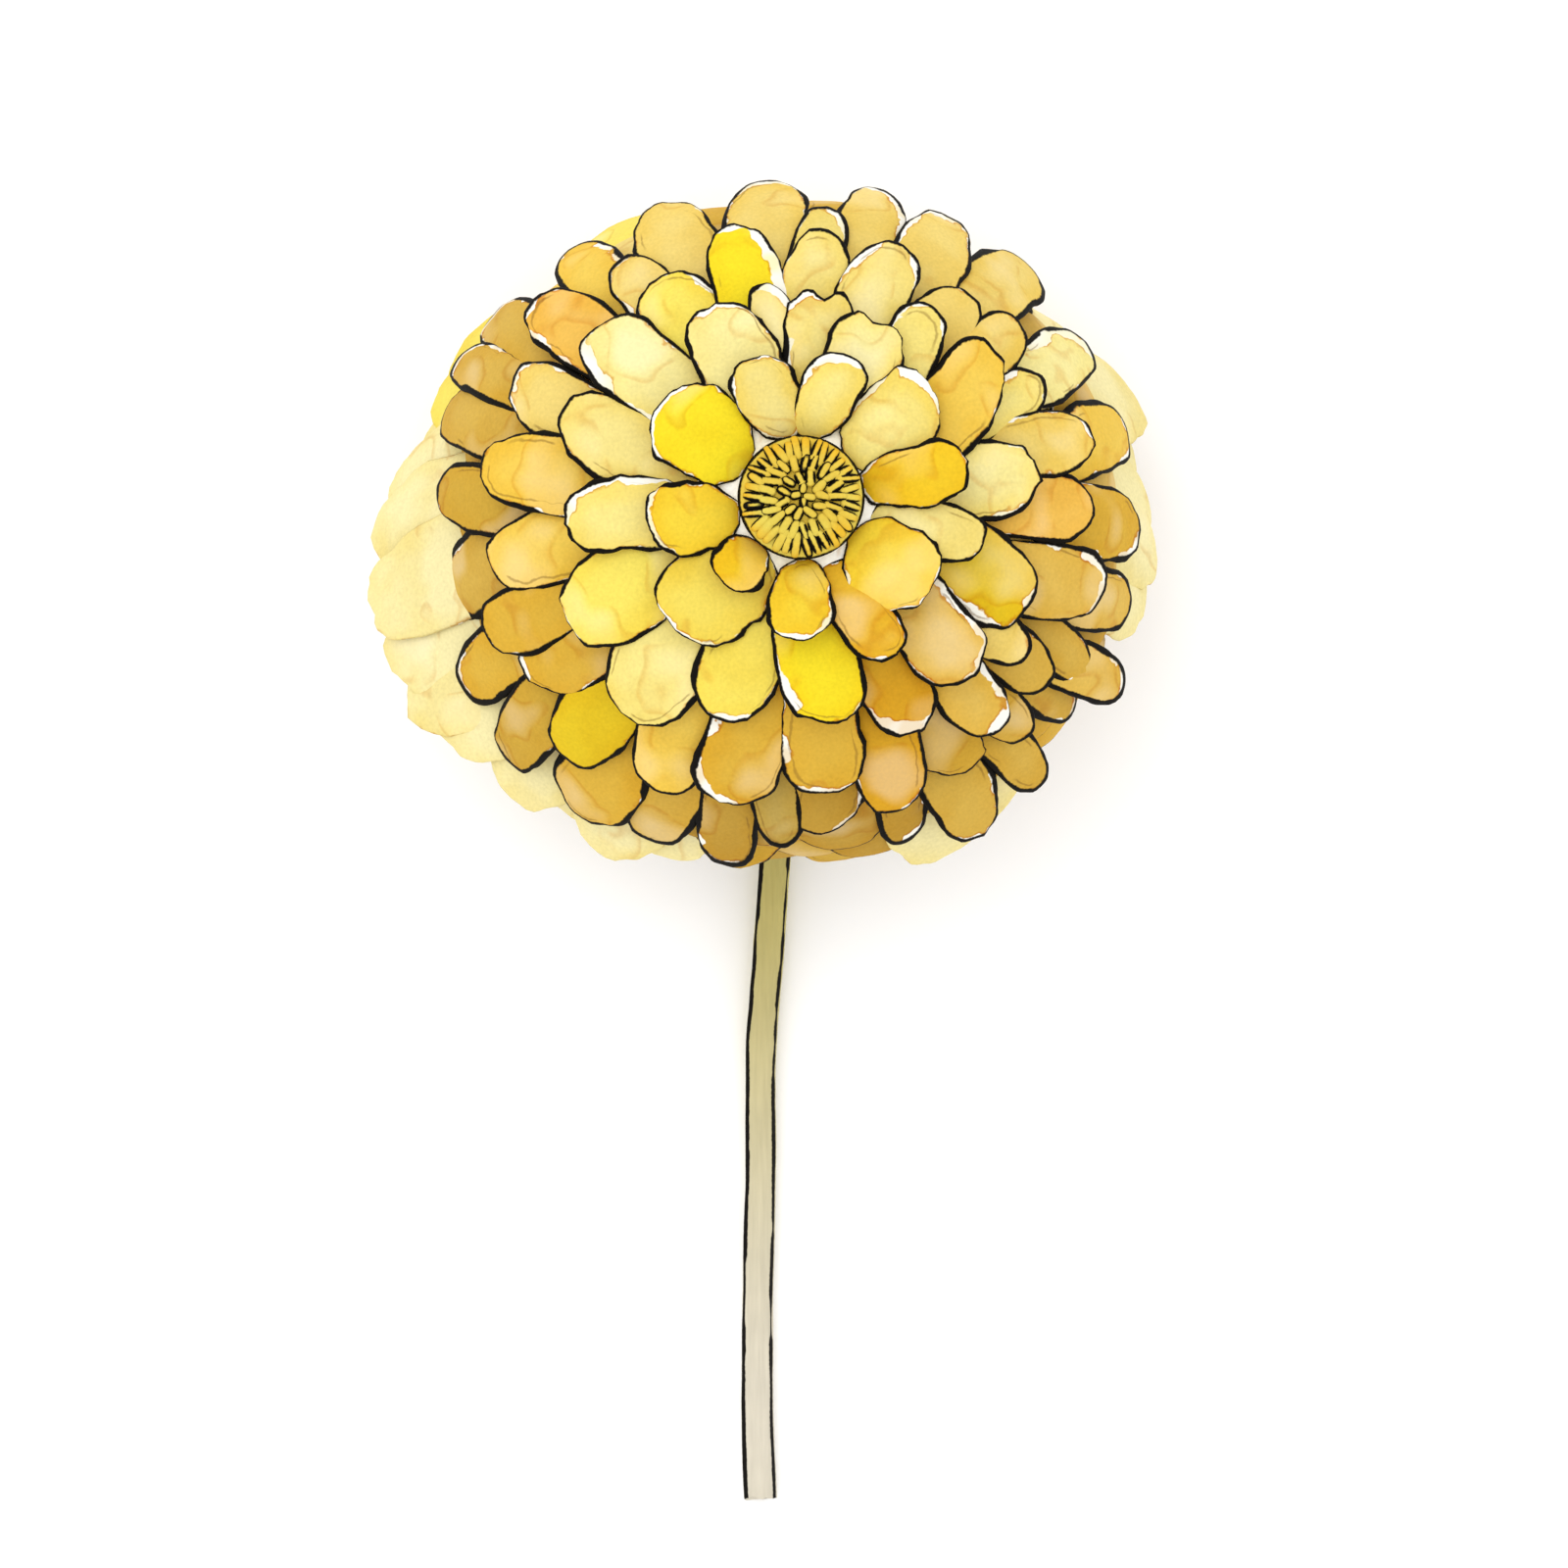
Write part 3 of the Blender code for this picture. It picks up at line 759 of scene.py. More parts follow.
def wash_group():
    """Shader group: a wash that pools at its edge, mottles, and dries with a fine line."""
    tree, start, end = shader_group(
        "watercolour_wash",
        {"Place": (0.0, 0.0, 0.0), "Wash": (0.9, 0.7, 0.2, 1.0), "Bare": (0.96, 0.93, 0.82, 1.0),
         "Pool": (0.98, 0.82, 0.34, 1.0), "Tide": (0.75, 0.42, 0.12, 1.0), "Distance": 1.0,
         "Pooling": 0.5, "Mottling": 0.5, "Offset": 0.0},
        {"Color": "NodeSocketColor"})
    knob, place = knobs(tree, start), start.outputs["Place"]
    wash, bare = start.outputs["Wash"], start.outputs["Bare"]
    mottling = knob("Mottling")

    def pattern(scale, number, detail=2.0):
        """Noise that differs between patterns, and between petals by their offsets."""
        return noise(tree, place, scale, detail, seed=knob("Offset") + number)

    ragged = (pattern(650.0, 0.0) - 0.5) * 0.7
    jagged = (pattern(2300.0, 1.0) - 0.5) * 0.45
    distance = knob("Distance") - ragged - jagged
    covered = ease(distance, 0.0, 0.06)
    unbroken = ease(pattern(500.0, 2.0), 0.4, 0.56)
    tide = band(distance, 0.0, 0.05, 0.22) * unbroken
    lap = pattern(300.0, 4.0, detail=3.0)
    edge = (1.0 - ease(distance + (lap - 0.5) * 2.6, 0.1, 1.7)) * knob("Pooling")
    cloud = ease(pattern(250.0, 8.0), 0.42, 0.68)
    deep = (edge + cloud * mottling * 0.55).math("MINIMUM", 1.0)
    drop = pattern(210.0, 12.0, detail=1.5)
    thin = ease(drop, 0.53, 0.66) * mottling
    backrun = band(drop, 0.525, 0.54, 0.57) * unbroken * mottling
    grain = noise(tree, place, TOOTH, 2.0, seed=1.5) - 0.5
    lightness = grain * mottling * 0.34 - cloud * mottling * 0.06 + thin * 0.05 + 1.0
    tinted = ease(pattern(380.0, 16.0, detail=1.0), 0.5, 0.6) * 0.4
    pale = mixed(tree, thin * 0.2, scaled(tree, wash, lightness), bare)
    pooled = mixed(tree, deep, pale, start.outputs["Pool"], blend_type="MULTIPLY")
    lined = mixed(tree, tide * 0.8 + backrun * 0.35, pooled, start.outputs["Tide"],
                  blend_type="MULTIPLY")
    colour = mixed(tree, covered, mixed(tree, tinted, bare, wash), lined)
    tree.links.new(colour, end.inputs["Color"])
    return tree


def grain_group():
    """Shader group: the fine, dry grain of petals and stalk, as a height and a roughness."""
    tree, start, end = shader_group(
        "dry_grain",
        {"Place": (0.0, 0.0, 0.0), "Size": 3500.0, "Roughness": 0.7},
        {"Height": "NodeSocketFloat", "Roughness": "NodeSocketFloat"})
    knob, place = knobs(tree, start), start.outputs["Place"]
    fine = noise(tree, place, knob("Size"), 3.0)
    broad = noise(tree, place, knob("Size") * 0.16, 2.0, seed=2.0)
    height = fine * 0.4 + broad * 0.6
    roughness = knob("Roughness") + (fine - 0.5) * 0.2
    tree.links.new(height.socket, end.inputs["Height"])
    tree.links.new(roughness.socket, end.inputs["Roughness"])
    return tree


def use(tree, name, inputs):
    """Places a shared shader group in a material, and builds it the first time."""
    makers = {"drawn_line": ink_group, "watercolour_wash": wash_group, "dry_grain": grain_group}
    node = tree.nodes.new("ShaderNodeGroup")
    node.node_tree = bpy.data.node_groups.get(name) or makers[name]()
    for label, item in inputs.items():
        feed(tree, node.inputs[label], item)
    return node.outputs


def drawn_line(tree, place, distance, width, unevenness, breaks):
    """Where a drawn line is, as a signal from 0 to 1."""
    line = use(tree, "drawn_line", {"Place": place, "Distance": distance, "Width": width,
                                    "Unevenness": unevenness, "Breaks": breaks})
    return Signal(tree, line["Line"])


def new_material(name):
    """An empty node material, its tree, its surface shader, and its Object coordinates."""
    material = bpy.data.materials.new(name)
    material.use_nodes = True
    tree = material.node_tree
    surface = tree.nodes["Principled BSDF"]
    surface.inputs["Specular IOR Level"].default_value = SHINE
    place = tree.nodes.new("ShaderNodeTexCoord").outputs["Object"]
    return material, tree, surface, place


def surface_reader(tree):
    """A function that reads a named number of the mesh, for a material."""
    def read(name):
        node = add(tree, "ShaderNodeAttribute", attribute_name=name)
        return Signal(tree, node.outputs["Fac"])
    return read


def finish_surface(tree, surface, place, colour, roughness, depth):
    """Feeds a surface its colour, and the dry grain's roughness and bump."""
    grain = use(tree, "dry_grain", {"Place": place, "Roughness": roughness})
    bump = add(tree, "ShaderNodeBump",
               {"Height": grain["Height"], "Distance": depth, "Strength": GRAIN_STRENGTH})
    feed(tree, surface.inputs["Base Color"], colour)
    feed(tree, surface.inputs["Roughness"], grain["Roughness"])
    feed(tree, surface.inputs["Normal"], bump.outputs["Normal"])


def petal_material(settings):
    """Petals: a wash of the petal's own colour inside a drawn dark margin."""
    material, tree, surface, place = new_material("washed_petal")
    read = surface_reader(tree)
    wash = add(tree, "ShaderNodeAttribute", attribute_name="wash").outputs["Color"]
    rim, along, ink, seed = read("rim"), read("along"), read("ink"), read("seed")
    toward = along * 0.9 + read("across") * read("bare_side")
    broken = ease(noise(tree, place, 420.0, 2.0, seed=21.0), 0.38, 0.58)
    bare = read("bare") * ease(toward, 0.45, 0.95) * broken
    inked = ink.math("MINIMUM", 1.0)
    inset = inked * 0.26 - 0.16
    painted = use(tree, "watercolour_wash", {
        "Place": place, "Wash": wash, "Bare": opaque(settings.bare),
        "Pool": opaque(settings.pool), "Tide": opaque(settings.tide),
        "Distance": rim - bare - inset, "Pooling": read("pool"), "Mottling": 0.9,
        "Offset": seed})["Color"]
    stroke = ease(along, 0.1, 0.75) * 0.65 + 0.5
    width = ink * stroke * (settings.ink_width / MM)
    line = drawn_line(tree, place, rim, width, 0.35, 0.5) * ease(read("face"), -0.7, -0.1)
    wander = (noise(tree, place, 480.0, 2.0, seed=31.0) - 0.5) * 0.9
    second = drawn_line(tree, place, (rim - wander - 0.55).math("ABSOLUTE"), 0.05, 0.6, 1.0)
    seldom = ease(noise(tree, place, 260.0, 1.0, seed=seed + 3.0), 0.56, 0.6)
    sketched = mixed(tree, second * seldom * inked * 0.6, painted, opaque(settings.sketch))
    colour = mixed(tree, line, sketched, opaque(settings.ink))
    finish_surface(tree, surface, place, colour, 0.68, 0.06 * MM)
    return material


def floret_material(settings, ink):
    """Florets: gold, deeper towards the eye's edge, with short dark lines between them."""
    material, tree, surface, place = new_material("golden_floret")
    read = surface_reader(tree)
    painted = use(tree, "watercolour_wash", {
        "Place": place, "Wash": opaque(settings.wash), "Bare": opaque(settings.wash),
        "Pool": opaque(settings.pool), "Tide": (1.0, 1.0, 1.0, 1.0),
        "Distance": 2.3 - read("outward") * 1.6, "Pooling": 1.0, "Mottling": 0.9})["Color"]
    width = read("ink") * (settings.ink_width / MM)
    line = drawn_line(tree, place, read("rim"), width, 0.7, 0.9)
    colour = mixed(tree, line, painted, opaque(ink))
    finish_surface(tree, surface, place, colour, 0.7, 0.05 * MM)
    return material


def stem_material(settings, ink):
    """Stalk: khaki at the neck, pale buff at its cut end, fibrous, with a dark line each side."""
    material, tree, surface, place = new_material("dry_stalk")
    split = add(tree, "ShaderNodeSeparateXYZ", {"Vector": place})
    down = Signal(tree, split.outputs["Y"])
    low, high = (corner[1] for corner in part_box("stem"))
    base = mixed(tree, ease(down, low * 0.9, high * 0.2), opaque(settings.end_colour),
                 opaque(settings.top_colour))
    long = add(tree, "ShaderNodeMapping", {"Vector": place, "Scale": (1.0, 0.06, 1.0)})
    fibre = noise(tree, long.outputs["Vector"], TOOTH, 3.0) - 0.5
    blot = noise(tree, place, 300.0, 3.0, seed=5.0) - 0.5
    toned = scaled(tree, base, fibre * 0.34 + blot * 0.3 + 1.0)
    above = surface_reader(tree)("above")
    line = drawn_line(tree, place, above, settings.line_width / MM, 0.35, 0.5)
    colour = mixed(tree, line, toned, opaque(ink))
    finish_surface(tree, surface, place, colour, 0.75, 0.05 * MM)
    return material


# Meshes


def head_matrix():
    """Takes a point from the ball's own space, face up and round, to the leaning head."""
    lean = Matrix.Rotation(FACE_LEAN_RIGHT, 4, "Y") @ Matrix.Rotation(-FACE_LEAN_UP, 4, "X")
    return Matrix.Translation(HEAD_AT) @ lean @ Matrix.Diagonal((*HEAD_STRETCH, 1.0))


def placed(mesh, matrix):
    """Moves a millimetre mesh to its place, and turns it into metres."""
    mesh.transform(matrix)
    mesh.transform(Matrix.Scale(MM, 4))


def pressed(mesh, below):
    """Presses what lies lower than this, in mm, flat above the table, without a fold."""
    for vert in mesh.vertices:
        height = vert.co.z / MM
        if height < below:
            vert.co.z = below * math.exp(height / below - 1.0) * MM


def store(mesh, name, values):
    """Gives each point of a mesh a named number."""
    mesh.attributes.new(name, "FLOAT", "POINT").data.foreach_set("value", list(values))


def store_colour(mesh, name, colours):
    """Gives each point of a mesh a named colour."""
    flat = [level for colour in colours for level in colour]
    mesh.attributes.new(name, "FLOAT_COLOR", "POINT").data.foreach_set("color", flat)


def smooth_mesh(name, mesh):
    """A smooth mesh from a bmesh, which is freed."""
    for polygon in mesh.faces:
        polygon.smooth = True
    data = bpy.data.meshes.new(name)
    mesh.to_mesh(data)
    mesh.free()
    return data


def points_mesh(name, count):
    """A mesh of this many points, to carry numbers."""
    mesh = bpy.data.meshes.new(name)
    mesh.from_pydata([(0.0, 0.0, 0.0)] * count, [], [])
    return mesh


def pad_outline(spokes, middle, roundness):
    """Points round a petal or floret of width 2 and length 1, anticlockwise from its right."""
    points = []
    for k in range(spokes):
        angle = math.tau * (k + 0.5) / spokes
        c, s = math.cos(angle), math.sin(angle)
        power, reach = (roundness[0], 1.0 - middle) if s > 0.0 else (roundness[1], middle)
        x = math.copysign(abs(c) ** (2.0 / power), c)
        y = math.copysign(abs(s) ** (2.0 / power), s)
        points.append((x, middle + reach * y))
    return points


def pad_template(name, outline, half_width, length, insets, shrinks, middle, hidden_every=1):
    """A thin closed pad with rings of points at set distances from its margin.

    Its points carry how far across and along they lie, on which face, and how far from the
    margin in mm. insets are (distance, height) pairs; shrinks are parts of the last inset.
    The hidden face keeps only every so many of the rings.
    """
    margin = [Vector((x * half_width, y * length, 0.0)) for x, y in outline]
    centre = Vector((0.0, middle * length, 0.0))
    count = len(margin)
    inward = []
    for k in range(count):
        ahead = margin[(k + 1) % count] - margin[k - 1]
        inward.append(Vector((-ahead.y, ahead.x, 0.0)).normalized())
    rows = [[(spot, height) for spot in (m + n * distance for m, n in zip(margin, inward))]
            for distance, height in insets]
    last = [spot for spot, height in rows[-1]]
    for part in shrinks:
        rows.append([(centre + (spot - centre) * part, 1.0) for spot in last])
    mesh = bmesh.new()
    heights, spots = [], []

    def ring(row, face):
        verts = []
        for spot, height in row:
            verts.append(mesh.verts.new((spot.x, spot.y, height * face)))
            heights.append(height * face)
            spots.append(spot)
        return verts

    edge = ring([(spot, 0.0) for spot in margin], 1)
    for face in (1, -1):
        outer = edge
        for row in rows if face > 0 else rows[::hidden_every]:
            inner = ring(row, face)
            for k in range(count):
                n = (k + 1) % count
                corners = (outer[k], outer[n], inner[n], inner[k])
                mesh.faces.new(corners[::face])
            outer = inner
        hub = ring([(centre, 1.0)], face)[0]
        for k in range(count):
            corners = (outer[k], outer[(k + 1) % count], hub)
            mesh.faces.new(corners[::face])
    data = smooth_mesh(name, mesh)
    store(data, "across", (spot.x / half_width for spot in spots))
    store(data, "along", (spot.y / length for spot in spots))
    store(data, "face", heights)
    store(data, "rim", (margin_distance(spot, margin) for spot in spots))
    return bpy.data.objects.new(name, data)


def margin_distance(spot, margin):
    """Distance from a point to a closed line of points."""
    nearest = math.inf
    for start, end in zip(margin, margin[1:] + margin[:1]):
        run = end - start
        part = max(0.0, min(1.0, (spot - start).dot(run) / run.dot(run)))
        nearest = min(nearest, (start + run * part - spot).length)
    return nearest


# Petals


def ball_spot(polar, azimuth, radius):
    """A point on the ball, in its own space, drawn back towards the neck."""
    outward = Vector((math.sin(polar) * math.cos(azimuth), math.sin(polar) * math.sin(azimuth),
                      math.cos(polar)))
    pull = BACK_PULL * max(0.0, polar - BACK_PULL_FROM) / (math.pi - BACK_PULL_FROM)
    return Matrix.Rotation(-pull, 3, "X") @ outward * radius


def ball_angles(x, y):
    """Polar angle, azimuth and radius of the head's point that is seen at (x, y) from above.

    The radius is the ball's own, or more where (x, y) lies outside the ball.
    """
    inverse = head_matrix().to_3x3().inverted()
    level, up = inverse @ Vector((x, y, 0.0)), inverse @ Vector((0.0, 0.0, 1.0))
    square, cross = up.dot(up), level.dot(up)
    room = max(0.0, cross * cross - square * (level.dot(level) - HEAD_RADIUS ** 2))
    spot = level + up * ((math.sqrt(room) - cross) / square)
    radius = spot.length
    return math.acos(spot.z / radius), math.atan2(spot.y, spot.x), radius


def eye_middle():
    """Where the eye's middle is seen from above, from the middle of the head."""
    top = head_matrix() @ Vector((0.0, 0.0, EYE_TOP)) - HEAD_AT
    return Vector((top.x, top.y))


def by_chance(draw, inked):
    """What differs by chance between petals; one that isn't inked is flat and evenly pooled."""
    return {
        "roll": draw.uniform(-TILT, TILT),
        "turn": draw.uniform(-TURN, TURN),
        "curl": draw.uniform(*CURL) if inked else 0.0,
        "bare_side": draw.uniform(-BARE_SIDE, BARE_SIDE),
        "pool": draw.uniform(*POOLING) if inked else FRINGE_POOLING,
        "ink": draw.uniform(*INKING) if inked else 0.0,
        "seed": draw.uniform(*MOTTLING_AT),
    }


def face_petal(shown, draw):
    """The blade of a petal that shows on the face."""
    middle = Vector((shown.x, shown.y))
    outward = (middle - eye_middle()).normalized()
    tip, azimuth, radius = ball_angles(*(middle + outward * (0.5 * shown.length)))
    inner_end = ball_angles(*(middle - outward * (0.5 * shown.length)))[0]
    root = max(inner_end - UNDER_ARC, inner_end * UNDER_PART, NEAREST_ROOT)
    shown_arc = tip - max(inner_end, NEAREST_ROOT)
    rise = (radius - TIP_IN - FACE_LOW) * min(1.0, shown_arc / FULL_ARC)
    bare = shown.bare or (BARE_EDGE if draw.random() < BARE_PART else 0.0)
    limb = max(0.0, min(1.0, (tip - LIMB_FROM) / (LIMB_TO - LIMB_FROM)))
    chance = by_chance(draw, inked=True)
    chance["turn"] += math.radians(shown.turn)
    chance["ink"] *= 1.0 + LIMB_INK * limb
    return Petal(azimuth=azimuth, root=root, tip=tip, width=shown.width, low=FACE_LOW,
                 reach=FACE_LOW + rise + shown.over, power=0.0, notch=shown.notch, bare=bare,
                 wash=washed(*WASHES[shown.wash]), **chance)


def fringe_reach(azimuth_degrees):
    """Extra reach and wash of a petal of the fringe ring; the reach is 0 between its parts."""
    best = (0.0, "")
    for middle, half_arc, reach, wash in FRINGE:
        away = abs((azimuth_degrees - middle + 180.0) % 360.0 - 180.0)
        if away < half_arc:
            best = max(best, (reach * math.cos(0.5 * math.pi * away / half_arc) ** 0.5, wash))
    return best


def back_petals(number, draw):
    """The blades of one ring of the back; the first ring holds the long pale fringe."""
    ring = BACK_RINGS[number]
    step = 360.0 / ring.count
    azimuth = ring.first
    petals = []
    while azimuth > ring.first - 360.0 + 0.5 * step:
        here = azimuth + draw.uniform(-TURN_SPREAD, TURN_SPREAD)
        extra, pale = fringe_reach(here) if number == 0 else (0.0, "")
        tip = ring.polar + TIP_PAST_MIDDLE + draw.uniform(-TIP_SPREAD, TIP_SPREAD)
        tip = math.radians(tip - FRINGE_TIP_BACK_PER_MM * extra)
        room = HEAD_RADIUS * math.sin(math.radians(ring.polar)) * math.radians(step)
        # Painted shade: the back's washes are darker, most on the shaded side; chance adds each
        # petal's own tone
        dark = DARK + PAINTED_SHADE_SWING * math.cos(math.radians(here - PAINTED_SHADE_SIDE))
        dark += draw.uniform(-DARK_SPREAD, DARK_SPREAD)
        wash = pale or DARKENING[int(max(0.0, min(0.999, dark)) * len(DARKENING))]
        width, power = FRINGE_WIDTH, FRINGE_CURL + FRINGE_CURL_PER_MM * extra
        if not extra:
            width = min(BACK_WIDEST, BACK_OVERLAP * room) * draw.uniform(*BACK_WIDTHS)
            power = 0.0
        petals.append(Petal(
            azimuth=math.radians(here), root=tip - math.radians(BACK_ARC), tip=tip, width=width,
            low=FILL_LOW if ring.sunk else BACK_LOW,
            reach=HEAD_RADIUS - TIP_IN + extra - ring.sunk, power=power, notch=0.0, bare=0.0,
            wash=washed(*WASHES[wash]), **by_chance(draw, inked=not extra)))
        wide = number == 0 and fringe_reach(azimuth - 0.5 * step)[0] > 0.0
        azimuth -= FRINGE_STEP if wide else step
    return petals


def clears_stem(petal):
    """Whether a petal's middle line stays clear of the stem."""
    matrix = head_matrix()
    for step in range(2, 6):
        along = 0.2 * step
        polar = petal.root + (petal.tip - petal.root) * along
        rise = (petal.reach - petal.low) * along * (1.0 + EARLY_RISE - EARLY_RISE * along)
        spot = matrix @ ball_spot(polar, petal.azimuth, petal.low + rise)
        if any((spot - point.to_3d()).length < STEM_CLEARANCE for point in stem_route(3)):
            return False
    return True


def layered(petals):
    """Gives neighbouring petals different lifts, so that each lies over or under the next."""
    spots, lifts = [], []
    for petal in petals:
        here = ball_spot(petal.tip, petal.azimuth, 1.0)
        near = [lift for spot, lift in zip(spots, lifts) if here.angle(spot) < NEIGHBOUR_ANGLE]
        lifts.append(max(LIFTS, key=lambda level: min((abs(level - lift) for lift in near),
                                                      default=1.0)))
        spots.append(here)
    return [petal._replace(reach=petal.reach + lift) for petal, lift in zip(petals, lifts)]


def all_petals():
    """Every petal of the head, always drawn in the same order."""
    draw = random.Random(SEED)
    petals = [face_petal(shown, draw) for shown in SHOWN_PETALS]
    for number in range(len(BACK_RINGS)):
        petals += [petal for petal in back_petals(number, draw) if clears_stem(petal)]
    return layered(petals)


def petal_points(name, petals):
    """A mesh with one point for each petal, which carries what its blade needs."""
    mesh = points_mesh(name, len(petals))
    for field in Petal._fields:
        if field != "wash":
            store(mesh, field, (getattr(petal, field) for petal in petals))
    store_colour(mesh, "wash", (petal.wash for petal in petals))
    return mesh


def petal_tree():
    """Geometry nodes: bends a flat petal onto the ball at each point of the input."""
    tree, start, end = geometry_tree("petals_on_ball", {
        "Petal": "NodeSocketObject", "Pad": "NodeSocketObject", "Finish": "NodeSocketMaterial",
        "Thickness": "NodeSocketFloat", "Dome": "NodeSocketFloat", "Waviness": "NodeSocketFloat"})
    read, knob = reader(tree), knobs(tree, start)
    across, along, rim = read("across"), read("along"), read("rim")
    root, tip, width = read("root"), read("tip"), read("width")
    low, power, azimuth = read("low"), read("power"), read("azimuth")
    run = (tip - root) * HEAD_RADIUS
    plan = vector(tree, across, along * 2.0, read("seed"))
    wide = (width / WHOLE_WAVES_WIDTH).math("MINIMUM", 1.0) ** 2.0
    near_margin = (1.0 - ease(rim, 0.0, WAVES_REACH)) * wide

    def wave(seed, fine_seed):
        """How far the margin's waves move a point."""
        broad = (noise(tree, plan, WAVES, 2.0, seed=seed) - 0.5) * near_margin
        fine = (noise(tree, plan, FINE_WAVES, 1.0, seed=fine_seed) - 0.5) * near_margin
        return broad * knob("Waviness") + fine * FINE_WAVINESS

    push = wave(7.0, 5.0) * (run / WHOLE_WAVES_RUN).math("MINIMUM", 1.0)
    dip = read("notch") * (1.0 - ease(across.math("ABSOLUTE"), 0.0, 0.42)) * ease(along, 0.7, 1.0)
    place = along + (push - dip) / run
    polar = root + (tip - root) * place
    offset = across * width * 0.5 + wave(0.0, 3.0) + read("turn") * (along - 0.6) * run
    even = place * (1.0 + EARLY_RISE - EARLY_RISE * place)
    bent = place.math("MAXIMUM", 0.001) ** power.math("MAXIMUM", 0.5)
    rise = even + (bent - even) * power.math("GREATER_THAN", 0.0)
    climb = read("reach") - low
    thickness = knob("Thickness") * ((climb / run) ** 2.0 + 1.0) ** 0.5
    height = climb * rise + low + read("face") * thickness * 0.5
    height = height + offset * read("roll") - offset * offset / (2.0 * HEAD_RADIUS)
    height = height - across * across * along * knob("Dome")
    height = height + read("curl") * ease(along, 0.7, 1.05)
    height = height + (noise(tree, plan, 0.9, 1.0, seed=13.0) - 0.5) * 0.35 * along
    turn_x, turn_y = azimuth.math("COSINE"), azimuth.math("SINE")
    level = height * polar.math("SINE")
    x = level * turn_x + offset * turn_y
    flat_y = level * turn_y - offset * turn_x
    flat_z = height * polar.math("COSINE")
    past = (polar - BACK_PULL_FROM).math("MAXIMUM", 0.0)
    pull = past * (BACK_PULL / (math.pi - BACK_PULL_FROM))
    pull_c, pull_s = pull.math("COSINE"), pull.math("SINE")
    spot = vector(tree, x, flat_y * pull_c + flat_z * pull_s, flat_z * pull_c - flat_y * pull_s)
    bend = moved(tree, copies(tree, start, "Petal"), Position=spot)
    wider = (width / (2.0 * PETAL_HALF_WIDTH)).math("MINIMUM", 1.1)
    marked = stored(tree, bend, "rim", rim * wider)
    end_tree(tree, joined(tree, marked, start, "Pad"), start, end)
    return tree


def flat_petal():
    """The petal before it is bent onto the ball."""
    outline = pad_outline(PETAL_SPOKES, PETAL_MIDDLE, PETAL_ROUNDNESS)
    return pad_template("flat_petal", outline, PETAL_HALF_WIDTH, PETAL_LENGTH, PETAL_INSETS,
                        PETAL_SHRINKS, PETAL_MIDDLE, PETAL_HIDDEN_EVERY)


def head_pad():
    """The ball under the petals, which has no margin, and a wash of painted light by the eye and
    painted shade elsewhere.
    """
    mesh = bmesh.new()
    bmesh.ops.create_icosphere(mesh, subdivisions=PAD_FINENESS, radius=PAD_RADIUS)
    for vert in mesh.verts:
        vert.co.z = min(vert.co.z, PAD_TOP + PAD_TOP_SLOPE * (vert.co.z - PAD_TOP))
    data = smooth_mesh("head_pad", mesh)
    store(data, "rim", [PAD_FROM_MARGIN] * len(data.vertices))
    store(data, "pool", [PAD_POOLING] * len(data.vertices))
    # Painted light and shade: near white by the eye to lift the shade in its gaps, straw in front
    # and ochre behind so that gaps look like shaded petal bases
    levels = ((PAD_TOP - PAD_BY_EYE_DEPTH, PAD_BY_EYE), (0.0, washed(*WASHES["straw"])),
              (-math.inf, washed(*WASHES["ochre"])))
    store_colour(data, "wash", (next(wash for level, wash in levels if vert.co.z > level)
                                for vert in data.vertices))
    return bpy.data.objects.new("head_pad", data)


def make_petals(name, petals, pad):
    """One piece of petals, finished and in its place."""
    settings = bpy.context.scene.flower_head
    inputs = {
        "Petal": bpy.data.objects.get("flat_petal") or flat_petal(),
        "Finish": bpy.data.materials.get("washed_petal") or petal_material(settings),
        "Thickness": settings.thickness / MM, "Dome": settings.dome / MM, "Waviness": WAVINESS}
    if pad is not None:
        inputs["Pad"] = pad
    tree = bpy.data.node_groups.get("petals_on_ball") or petal_tree()
    piece = grow(name + "_dressed", petal_points(name, petals), tree, inputs)
    placed(piece.data, head_matrix())
    pressed(piece.data, PETALS_PRESSED)
    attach(piece, "root")
    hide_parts(name)


# Eye


def floret_points(outer_count):
    """A mesh with one point for each floret of the eye."""
    draw = random.Random(SEED)
    rows = []
    for ring_count, radius, length, width, height, closed_part in FLORET_RINGS:
        count = ring_count or outer_count
        for k in range(count):
            rows.append({
                "azimuth": math.tau * (k + draw.uniform(-0.14, 0.14)) / count,
                "radius": radius + draw.uniform(-0.12, 0.04),
                "length": length * draw.uniform(0.8, 1.06),
                "width": width * draw.uniform(0.9, 1.1),
                "height": height * draw.uniform(0.8, 1.2),
                "turn": draw.uniform(-0.16, 0.16) * (4.6 - radius),
                "ink": draw.uniform(0.55, 1.35),
                "closed": 1.0 if draw.random() < closed_part else 0.0,
            })
    mesh = points_mesh("florets", len(rows))
    for name in rows[0]:
        store(mesh, name, (row[name] for row in rows))
    return mesh


